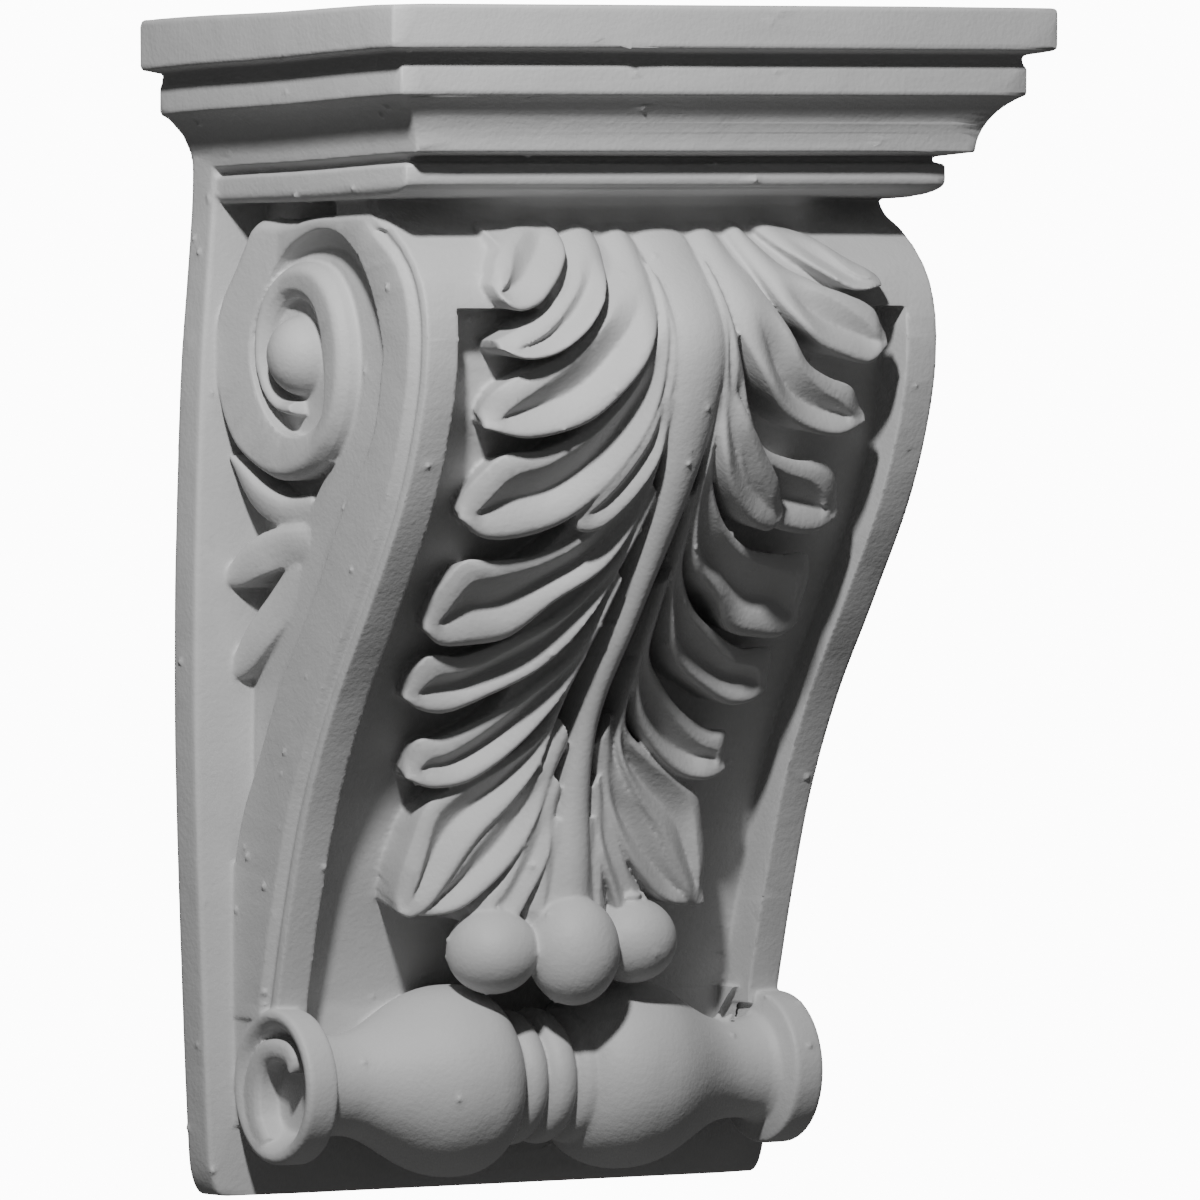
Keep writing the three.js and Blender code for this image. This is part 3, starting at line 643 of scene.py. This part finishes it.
class CORBEL_OT_leaf(bpy.types.Operator):
    """Builds the acanthus leaf: its overlapping gouged lobes and its midrib"""
    bl_idname = "corbel.leaf"
    bl_label = "Leaf"

    def execute(self, context):
        self.sizes = context.scene.corbel.bracket
        self.clay = Clay()
        self.clay.mirrored(self.half_leaf)
        self.midrib()
        self.clay.object("leaf")
        return {"FINISHED"}

    def half_leaf(self, side):
        self.shelf = SHELF[side]
        for lobe in LOBES:
            self.lobe(side, **lobe)

    def root(self, z):
        """How far from the wall the leaf is rooted, safely behind the panel and the frieze."""
        return float(panel(min(z, PANEL_TOP), self.sizes)) - 2 - 1.1 * max(0, z - PANEL_TOP - 6)

    def section(self, t, half, opened, hollow, sunk):
        """Offsets across a lobe and heights there, from its upper edge to its lower edge."""
        closing = math.sqrt(max(0, 1 - (max(0, t - HOLLOW_CLOSES) / (HOLLOW_END - HOLLOW_CLOSES)) ** 2))
        flange = RIM + (FLANGE - RIM) * float(ease(t, 0.45, 0.8))
        valley = -0.08 * half
        arris = valley + max(half - flange - valley, 0.1 * half) * closing
        deep = hollow * closing ** 0.8
        shelf = (0 if sunk else self.shelf) * opened * (1 - float(ease(t, 0.42, 0.62)))
        rim = -0.5 - 0.9 * float(ease(t, 0.5, 0.8)) - sunk
        shape = [(half + shelf, rim - 1.2 - 0.8 * shelf), (half + 0.12 * shelf, rim - 0.6 * shelf),
                 (half, rim), ((half + arris) / 2, 0.1 + rim * 0.2), (arris, 0.2)]
        for share in (0.3, 0.7, 1.0):
            shape.append((arris + (valley - arris) * share,
                          0.2 - (deep + 0.2) * share * (1.25 - 0.25 * share)))
        low = CREST * half
        for share in (0.25, 0.5, 0.75, 1.0):
            rise = 0.5 * share + 0.5 * math.sin(share * math.pi / 2)
            shape.append((valley + (low - valley) * share, -deep + (deep + 0.7) * rise))
        shape.append(((low - half) / 2, 0.7 - CREST_FALL * 0.35))
        shape.append((-half, 0.7 - CREST_FALL - 0.6))
        return [(offset, -3.0 * min(offset / half, 1.3) ** 2 * (1 - opened) + height * opened)
                for offset, height in shape]

    def rolled(self, below):
        """How far a stem rolls back just below its top."""
        return 6.0 * (1 - math.sqrt(1 - max(0, 1 - below / 5.0) ** 2))

    def lobe(self, side, upper, lower, hollow, tilt, opens, sunk=0, lift=0, sides=(-1, 1)):
        if side not in sides:
            return
        above, share = spline(upper, 60, 0.8)
        below, _ = spline(lower, 60, 0.8)
        above[-1] += (above[-1] - below[-1]) * 0.01 + 1e-3
        centre = (above + below) / 2
        across = above - below
        halves = np.linalg.norm(across, axis=1) / 2
        across /= 2 * halves[:, None]
        rings = []
        for i, t in enumerate(share):
            opened = float(ease(t, *opens))
            half = max(halves[i], 0.25)
            edge_fall = 2.0 * float(ease(t, 0.86, 1.0))
            if upper[0][1] > 250:
                edge_fall += self.rolled(STEMS_TOP - centre[i][1])
                half *= 1 - 0.45 * max(0, 1 - (STEMS_TOP - centre[i][1]) / 8) ** 1.5
            ring = []
            for offset, height in self.section(t, half, opened, hollow, sunk):
                x, z = centre[i] + across[i] * offset
                lean = min(offset / half, 1.2) * (0.8 + (tilt - 0.8) * opened) * min(1, half / 3)
                forward = float(leaf_face(x, z)) + height + lift * opened - lean - edge_fall
                ring.append((-side * x, forward, z))
            back = int(len(share) * t * (1 - 0.1 * t) * 0.999)
            spread = 1.25 - 0.45 * float(ease(t, 0.35, 0.7))
            for v in (-spread, spread):
                x, z = centre[back] + across[i] * v * half
                ring.append((-side * x, self.root(z), z))
            rings.append(ring)
        self.clay.loft(rings)

    def midrib(self):
        rings = []
        for z in np.r_[np.linspace(68, LEAF_TOP - 5, 76), LEAF_TOP - np.array([4, 3, 2, 1.2, 0.6, 0.2])]:
            half = float(midrib_half(z)) * (1 - 0.4 * max(0, 1 - (LEAF_TOP - z) / 8) ** 1.5)
            top = float(leaf_face(0, z)) + 1.5 - self.rolled(LEAF_TOP - z)
            ring = [(half, self.root(z), z)]
            ring += [(half * math.cos(a), top - 4 + 4 * math.sin(a), z) for a in np.linspace(0, np.pi, 13)]
            ring.append((-half, self.root(z), z))
            rings.append(ring)
        self.clay.loft(rings)


def add_node(tree, kind, links=None, **settings):
    """Adds a node, sets its properties and input values, and links its inputs from other sockets."""
    node = tree.nodes.new(kind)
    values = settings.pop("inputs", {})
    for name, value in settings.items():
        setattr(node, name, value)
    for key, value in values.items():
        node.inputs[key].default_value = value
    for key, socket in (links or {}).items():
        tree.links.new(socket, node.inputs[key])
    return node


def node_group(name, inputs):
    """A Geometry Nodes tree with named inputs given as (name, socket type, default)."""
    tree = bpy.data.node_groups.new(name, "GeometryNodeTree")
    tree.interface.new_socket("Geometry", in_out="INPUT", socket_type="NodeSocketGeometry")
    for label, kind, default in inputs:
        socket = tree.interface.new_socket(label, in_out="INPUT", socket_type=kind)
        if default is not None:
            socket.default_value = default
    tree.interface.new_socket("Geometry", in_out="OUTPUT", socket_type="NodeSocketGeometry")
    return tree


def grown(name, tree, values, source=None):
    """A plain mesh object from a Geometry Nodes tree run with the given input values."""
    mesh = source.data.copy() if source else bpy.data.meshes.new(name)
    thing = bpy.data.objects.new(name, mesh)
    bpy.context.scene.collection.objects.link(thing)
    modifier = thing.modifiers.new(name, "NODES")
    modifier.node_group = tree
    for item in tree.interface.items_tree:
        if item.item_type == "SOCKET" and item.in_out == "INPUT" and item.name in values:
            modifier[item.identifier] = values[item.name]
    graph = bpy.context.evaluated_depsgraph_get()
    result = bpy.data.meshes.new_from_object(thing.evaluated_get(graph))
    thing.modifiers.clear()
    thing.data = result
    return thing


class CORBEL_OT_berries(bpy.types.Operator):
    """Builds the three berries below the leaf"""
    bl_idname = "corbel.berries"
    bl_label = "Berries"

    def execute(self, context):
        clay = Clay()
        for centre, up in (((-20.3, 45.5, 63.2), 11), ((21.2, 45.5, 64.5), 11.2), ((0, 52, 63), 14.2)):
            clay.loft(ball(centre, (12, 12, up), 48, 32))
        clay.object("berries")
        return {"FINISHED"}


class CORBEL_OT_roll(bpy.types.Operator):
    """Builds the turned roll at the foot, with its ribs and the scroll in each end"""
    bl_idname = "corbel.roll"
    bl_label = "Roll"

    def execute(self, context):
        sizes = context.scene.corbel.roll
        self.centre = (sizes.forward / MM, sizes.height / MM)
        half = context.scene.corbel.bracket.half / MM
        neck, bulge, disc = sizes.neck / MM, sizes.bulge / MM, sizes.disc / MM
        disc_in = half - 8.8
        right = [(half - 7.5, 0.5), (half - 7.5, disc - 8), (half - 1.4, disc - 4.2), (half - 0.3, disc - 3),
                 (half, disc - 2), (half, disc - 1.2), (half - 0.4, disc - 0.4), (half - 1.2, disc),
                 (disc_in + 1.2, disc), (disc_in + 0.3, disc - 0.4), (disc_in, disc - 1.2),
                 (disc_in - 1, neck + 1.6), (disc_in - 3, neck + 0.4), (disc_in - 7, neck)]
        for t in np.linspace(0, 1, 24)[1:]:
            rise = t ** 3 * (t * (6 * t - 15) + 10)
            right.append((24 + (disc_in - 33) * (1 - t), neck + (bulge - neck) * rise ** 0.8))
        for a in np.linspace(0, math.pi / 2 * 0.9, 16)[1:]:
            right.append((24 - 14 * math.sin(a), bulge * math.cos(a) ** 0.55))
        right.append((9.5, 8))
        shifted = [(x - 2.4 * (1 - float(ease(x, 11, 24))), r) for x, r in right]
        profile = shifted + [(-x, r) for x, r in reversed(right)]
        clay = Clay()
        clay.loft(self.turned(profile))
        clay.mirrored(lambda side: clay.loft(self.scroll(side, half)))
        clay.object("roll")
        self.ribs(sizes)
        return {"FINISHED"}

    def scroll(self, side, half):
        """The ribbon that curls in from a disc's rim, as forward, up and half width from its centre."""
        line = ((-6, -15.5, 3.2), (-12, -9, 4.0), (-12.5, 1, 3.8), (-8, 7.6, 3.2), (-0.5, 9.4, 2.8),
                (6.5, 7.6, 3.0), (6.8, 3.8, 2.8))
        path, share = spline(line, 40)
        along = np.gradient(path, axis=0)
        rings = []
        for (f, z, broad), step, t in zip(path, along, share):
            size = math.hypot(step[0], step[1])
            broad *= math.sqrt(max(0.05, 1 - max(0, (t - 0.88) / 0.12) ** 2))
            ring = []
            for v, drop in ((-1, 9), (-1, 1.8), (-0.6, 0.7), (0, 0.4), (0.6, 0.7), (1, 1.8), (1, 9)):
                ring.append((side * (half - drop - 0.6 * t), self.centre[0] + f - step[1] / size * v * broad,
                             self.centre[1] + z + step[0] / size * v * broad))
            rings.append(ring)
        return rings

    def turned(self, profile):
        angles = np.linspace(0, 2 * np.pi, 96, endpoint=False)
        return [[(x, self.centre[0] + r * math.cos(a), self.centre[1] + r * math.sin(a)) for a in angles]
                for x, r in profile]

    def ribs(self, sizes):
        tree = node_group("roll_ribs", [
            ("Count", "NodeSocketInt", 3), ("Pitch", "NodeSocketFloat", 0.0064),
            ("Radius", "NodeSocketFloat", 0.0144), ("Thickness", "NodeSocketFloat", 0.0032),
            ("Centre", "NodeSocketVector", (0, 0, 0)),
        ])
        group = add_node(tree, "NodeGroupInput").outputs
        circle = add_node(tree, "GeometryNodeCurvePrimitiveCircle", {"Radius": group["Radius"]},
                          inputs={"Resolution": 96})
        round_section = add_node(tree, "GeometryNodeCurvePrimitiveCircle", {"Radius": group["Thickness"]},
                                 inputs={"Resolution": 20})
        ring = add_node(tree, "GeometryNodeCurveToMesh",
                        {"Curve": circle.outputs[0], "Profile Curve": round_section.outputs[0]})
        upright = add_node(tree, "GeometryNodeTransform", {"Geometry": ring.outputs[0]},
                           inputs={"Rotation": (0, math.pi / 2, 0)})
        step = add_node(tree, "ShaderNodeCombineXYZ", {"X": group["Pitch"]})
        less = add_node(tree, "ShaderNodeMath", {0: group["Count"]}, operation="SUBTRACT", inputs={1: 1.0})
        back = add_node(tree, "ShaderNodeMath", {0: less.outputs[0]}, operation="MULTIPLY", inputs={1: -0.5})
        shift = add_node(tree, "ShaderNodeVectorMath", {0: step.outputs[0], "Scale": back.outputs[0]},
                         operation="SCALE")
        start = add_node(tree, "ShaderNodeVectorMath", {0: group["Centre"], 1: shift.outputs[0]},
                         operation="ADD")
        line = add_node(tree, "GeometryNodeMeshLine", {
            "Count": group["Count"], "Start Location": start.outputs[0], "Offset": step.outputs[0]})
        placed = add_node(tree, "GeometryNodeInstanceOnPoints",
                          {"Points": line.outputs[0], "Instance": upright.outputs[0]})
        real = add_node(tree, "GeometryNodeRealizeInstances", {0: placed.outputs[0]})
        painted = add_node(tree, "GeometryNodeSetMaterial", {"Geometry": real.outputs[0]},
                           inputs={"Material": primer(bpy.context.scene.corbel.finish)})
        add_node(tree, "NodeGroupOutput", {0: painted.outputs[0]})
        thick = sizes.rib_pitch / 2
        off_centre = 0.8
        centre = Vector(metres((off_centre, *self.centre)).tolist())
        grown("roll_ribs", tree, {
            "Count": sizes.rib_count, "Pitch": sizes.rib_pitch, "Radius": sizes.rib - thick,
            "Thickness": thick, "Centre": centre,
        })


# Lumps of flash left in the moulding's corners: place, spread, number and largest radius
FLASH = (
    ((20.5, 48, 75.8), (3.2, 1.6, 1.0), 16, 1.3),
    ((-20, 47.5, 74.4), (1.6, 1.0, 0.7), 6, 0.9),
    ((-72, 56, 249.2), (4.0, 9.0, 0.5), 14, 1.0),
    ((57, 33, 42.6), (1.6, 2.0, 0.8), 8, 0.9),
)


class CORBEL_OT_flash(bpy.types.Operator):
    """Builds the small rough lumps that the mould left in its corners"""
    bl_idname = "corbel.flash"
    bl_label = "Flash"

    def execute(self, context):
        chance = np.random.default_rng(7)
        clay = Clay()
        for place, spread, number, largest in FLASH:
            for _ in range(number):
                radius = largest * chance.uniform(0.45, 1.0)
                centre = np.array(place) + np.array(spread) * chance.uniform(-1, 1, 3)
                clay.loft(ball(centre, radius * chance.uniform(0.7, 1.2, 3), 12, 8))
        clay.object("flash")
        return {"FINISHED"}


# The objects that the steps build, in the order in which they are joined
PATTERNS = ("flash", "crown", "back_plate", "bracket", "volutes", "leaf", "berries", "roll", "roll_ribs")

# How far the casting's lines wander, in millimetres
WAVE = 0.2


class CORBEL_OT_cast(bpy.types.Operator):
    """Fuses the patterns into one casting with soft edges, and primes it"""
    bl_idname = "corbel.cast"
    bl_label = "Cast"

    def execute(self, context):
        sizes = context.scene.corbel.cast
        patterns = [bpy.data.objects[name] for name in PATTERNS]
        for thing in bpy.data.objects:
            thing.select_set(thing in patterns)
        context.view_layer.objects.active = patterns[0]
        bpy.ops.object.join()
        casting = context.view_layer.objects.active
        casting.name = "primed_corbel"
        casting.data.name = "primed_corbel"
        material = primer(context.scene.corbel.finish)
        pimples = grown("pimples", self.pimple_tree(), {
            "Density": sizes.pimples, "Smallest": sizes.pimple_size * 0.5, "Largest": sizes.pimple_size,
            "Seed": 11, "Material": material,
        }, casting)
        pimples.select_set(True)
        casting.select_set(True)
        context.view_layer.objects.active = casting
        bpy.ops.object.join()
        grain = sizes.grain * 1
        self.apply(casting, "REMESH", mode="VOXEL", voxel_size=grain)
        self.apply(casting, "SMOOTH", factor=0.5, iterations=sizes.softness)
        faces = len(casting.data.polygons)
        self.apply(casting, "DECIMATE", ratio=min(1.0, sizes.triangles / (2 * faces)))
        self.apply(casting, "SMOOTH", factor=0.3, iterations=1)
        self.fit(casting)
        casting.data.shade_smooth()
        casting.data.set_sharp_from_angle(angle=math.radians(48))
        casting.data.materials.clear()
        casting.data.materials.append(material)
        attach(casting, "root")
        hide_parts("corbel_casting")
        return {"FINISHED"}

    def pimple_tree(self):
        """Small pimples of the cast surface, scattered over the patterns."""
        tree = node_group("pimples", [
            ("Density", "NodeSocketFloat", 800.0), ("Smallest", "NodeSocketFloat", 0.0004),
            ("Largest", "NodeSocketFloat", 0.0008), ("Seed", "NodeSocketInt", 0),
            ("Material", "NodeSocketMaterial", None),
        ])
        group = add_node(tree, "NodeGroupInput").outputs
        spots = add_node(tree, "GeometryNodeDistributePointsOnFaces",
                         {"Mesh": group["Geometry"], "Density": group["Density"],
                          "Seed": group["Seed"]})
        bead = add_node(tree, "GeometryNodeMeshIcoSphere", inputs={"Radius": 1.0, "Subdivisions": 2})
        radius = add_node(tree, "FunctionNodeRandomValue", {
            2: group["Smallest"], 3: group["Largest"], "Seed": group["Seed"]}, data_type="FLOAT")
        placed = add_node(tree, "GeometryNodeInstanceOnPoints", {
            "Points": spots.outputs["Points"], "Instance": bead.outputs["Mesh"], "Scale": radius.outputs[1]})
        real = add_node(tree, "GeometryNodeRealizeInstances", {0: placed.outputs[0]})
        painted = add_node(tree, "GeometryNodeSetMaterial",
                           {"Geometry": real.outputs[0], "Material": group["Material"]})
        add_node(tree, "NodeGroupOutput", {0: painted.outputs[0]})
        return tree

    def apply(self, thing, kind, **settings):
        """Runs one modifier on the object and keeps its result as a plain mesh."""
        modifier = thing.modifiers.new(kind, kind)
        for name, value in settings.items():
            setattr(modifier, name, value)
        graph = bpy.context.evaluated_depsgraph_get()
        result = bpy.data.meshes.new_from_object(thing.evaluated_get(graph))
        thing.modifiers.clear()
        thing.data = result

    def fit(self, casting):
        """Keeps the smoothed casting inside the frame's box and its back flat on the wall."""
        count = len(casting.data.vertices)
        points = np.empty(count * 3)
        casting.data.vertices.foreach_get("co", points)
        points = points.reshape(-1, 3)
        across, up = points[:, 0] / MM, points[:, 2] / MM
        sway = np.sin(across / 17 + 1.3 * np.sin(up / 29)) + 0.6 * np.sin(points[:, 1] / MM / 13 + up / 41)
        points[:, 2] += WAVE * MM * sway
        points[:, 1] += WAVE * MM * np.sin(up / 19 + across / 37) * np.clip(-points[:, 1] / MM / 20, 0, 1)
        points = np.clip(points, np.array(low_corner), np.array(high_corner))
        casting.data.vertices.foreach_set("co", points.ravel())
        casting.data.update()


def linear(code):
    """An sRGB hex colour as linear red, green, blue and alpha."""
    channels = [int(code[i:i + 2], 16) / 255 for i in (1, 3, 5)]
    return tuple(c / 12.92 if c <= 0.04045 else ((c + 0.055) / 1.055) ** 2.4 for c in channels) + (1.0,)


def primer(sizes):
    """Sprayed grey primer over a moulded foam casting: matt, with a fine orange-peel stipple."""
    material = bpy.data.materials.get("sprayed_grey_primer")
    if material:
        return material
    material = bpy.data.materials.new("sprayed_grey_primer")
    material.use_nodes = True
    tree = material.node_tree
    tree.nodes.clear()
    place = add_node(tree, "ShaderNodeTexCoord").outputs["Object"]
    peel = add_node(tree, "ShaderNodeTexNoise", {"Vector": place},
                    inputs={"Scale": 1 / sizes.stipple, "Detail": 2.0, "Roughness": 0.5})
    wave = add_node(tree, "ShaderNodeTexNoise", {"Vector": place},
                    inputs={"Scale": 0.12 / sizes.stipple, "Detail": 1.0})
    cloud = add_node(tree, "ShaderNodeTexNoise", {"Vector": place},
                     inputs={"Scale": 30.0, "Detail": 3.0})
    grey = linear(sizes.primer)
    tone = add_node(tree, "ShaderNodeValToRGB", {"Fac": cloud.outputs["Fac"]})
    tone.color_ramp.elements[0].color = tuple(0.93 * c for c in grey[:3]) + (1.0,)
    tone.color_ramp.elements[1].color = tuple(1.05 * c for c in grey[:3]) + (1.0,)
    broad = add_node(tree, "ShaderNodeBump", {"Height": wave.outputs["Fac"]},
                     inputs={"Strength": 0.3, "Distance": 0.0009})
    fine = add_node(tree, "ShaderNodeBump",
                    {"Height": peel.outputs["Fac"], "Normal": broad.outputs["Normal"]},
                    inputs={"Strength": 0.45, "Distance": 0.00025})
    paint = add_node(tree, "ShaderNodeBsdfPrincipled",
                     {"Base Color": tone.outputs["Color"], "Normal": fine.outputs["Normal"]},
                     inputs={"Roughness": 0.6, "IOR": 1.48, "Metallic": 0.0})
    add_node(tree, "ShaderNodeOutputMaterial", {"Surface": paint.outputs[0]})
    return material


# The photograph's viewpoint: direction from the object, roll and distance, the view's centre and the lens
VIEW_AZIMUTH = -31.416
VIEW_ELEVATION = 2.207
VIEW_ROLL = 0.092
VIEW_DISTANCE = 3.3427
VIEW_CENTRE = (6.54, 53.97, 152.99)
LENS = 390.98
# The small near light: its direction, distance and diameter, and the point that it faces
KEY_AZIMUTH = -41.0
KEY_ELEVATION = 39.0
KEY_DISTANCE = 0.8
KEY_SIZE = 0.06
KEY_TARGET = (0, 60, 150)
# How bright the backdrop looks to the camera; it lights nothing
BACKDROP = 12.0


def direction(azimuth, elevation):
    """The way from the object towards a viewer or light at this azimuth and elevation in degrees."""
    a, e = math.radians(azimuth), math.radians(elevation)
    return Vector((math.sin(a) * math.cos(e), -math.cos(a) * math.cos(e), math.sin(e)))


class CORBEL_OT_stage(bpy.types.Operator):
    """Sets the camera, the near studio light with its faint fill, and a plain pale floor"""
    bl_idname = "corbel.stage"
    bl_label = "Stage"

    def execute(self, context):
        sizes = context.scene.corbel.stage
        self.camera(context.scene)
        self.lights(sizes)
        self.surroundings(context.scene, sizes)
        self.floor(sizes)
        return {"FINISHED"}

    def camera(self, scene):
        data = bpy.data.cameras.new("view")
        data.lens = LENS
        data.sensor_width = 36.0
        data.clip_end = 50.0
        camera = bpy.data.objects.new("view", data)
        scene.collection.objects.link(camera)
        back = direction(VIEW_AZIMUTH, VIEW_ELEVATION)
        centre = Vector(metres(VIEW_CENTRE).tolist())
        turn = (-back).to_track_quat("-Z", "Y").to_matrix().to_4x4()
        roll = Matrix.Rotation(math.radians(VIEW_ROLL), 4, "Z")
        camera.matrix_world = Matrix.Translation(centre + back * VIEW_DISTANCE) @ turn @ roll
        scene.camera = camera

    def lights(self, sizes):
        data = bpy.data.lights.new("key", "AREA")
        data.energy = sizes.key
        data.shape = "DISK"
        data.size = KEY_SIZE
        key = bpy.data.objects.new("key", data)
        way = direction(KEY_AZIMUTH, KEY_ELEVATION)
        key.location = Vector(metres(KEY_TARGET).tolist()) + way * KEY_DISTANCE
        key.rotation_euler = way.to_track_quat("Z", "Y").to_euler()
        bpy.context.scene.collection.objects.link(key)

    def surroundings(self, scene, sizes):
        world = bpy.data.worlds.new("studio")
        world.use_nodes = True
        tree = world.node_tree
        tree.nodes.clear()
        white = add_node(tree, "ShaderNodeBackground",
                         inputs={"Color": (1, 1, 1, 1), "Strength": BACKDROP})
        soft = add_node(tree, "ShaderNodeBackground",
                        inputs={"Color": (1, 1, 1, 1), "Strength": sizes.fill})
        seen = add_node(tree, "ShaderNodeLightPath")
        both = add_node(tree, "ShaderNodeMixShader",
                        {0: seen.outputs["Is Camera Ray"], 1: soft.outputs[0], 2: white.outputs[0]})
        add_node(tree, "ShaderNodeOutputWorld", {"Surface": both.outputs[0]})
        scene.world = world

    def floor(self, sizes):
        half, drop = 0.4, 1.0
        mesh = bpy.data.meshes.new("floor")
        corners = [(-half, -half, -drop), (half, -half, -drop), (half, half, -drop), (-half, half, -drop)]
        mesh.from_pydata(corners, [], [(0, 1, 2, 3)])
        floor = bpy.data.objects.new("floor", mesh)
        bpy.context.scene.collection.objects.link(floor)
        pale = bpy.data.materials.new("pale_floor")
        pale.use_nodes = True
        shader = pale.node_tree.nodes["Principled BSDF"]
        shader.inputs["Base Color"].default_value = linear(sizes.floor)
        shader.inputs["Roughness"].default_value = 0.9
        mesh.materials.append(pale)


class CORBEL_PT_sidebar(bpy.types.Panel):
    """Lists the corbel's steps and sizes in the 3D view's sidebar"""
    bl_idname = "CORBEL_PT_sidebar"
    bl_label = "Corbel"
    bl_space_type = "VIEW_3D"
    bl_region_type = "UI"
    bl_category = "Corbel"

    def draw(self, context):
        settings = context.scene.corbel
        for group in ("crown", "bracket", "roll", "cast", "finish", "stage"):
            sizes = getattr(settings, group)
            box = self.layout.box()
            box.label(text=group.title())
            for name in type(sizes).__annotations__:
                box.prop(sizes, name)
        for step in STEPS:
            self.layout.operator(step.bl_idname)


STEPS = (CORBEL_OT_crown, CORBEL_OT_plate, CORBEL_OT_bracket, CORBEL_OT_volutes, CORBEL_OT_leaf,
         CORBEL_OT_berries, CORBEL_OT_roll, CORBEL_OT_flash, CORBEL_OT_cast, CORBEL_OT_stage)
GROUPS = (CrownSizes, BracketSizes, RollSizes, CastSizes, FinishSizes, StageSizes, Corbel)
CLASSES = GROUPS + STEPS + (CORBEL_PT_sidebar,)


def register():
    for item in CLASSES:
        bpy.utils.register_class(item)
    bpy.types.Scene.corbel = PointerProperty(type=Corbel)


def unregister():
    del bpy.types.Scene.corbel
    for item in reversed(CLASSES):
        bpy.utils.unregister_class(item)


def main():
    register()
    for step in STEPS:
        family, name = step.bl_idname.split(".")
        getattr(getattr(bpy.ops, family), name)()


if __name__ == "__main__":
    main()
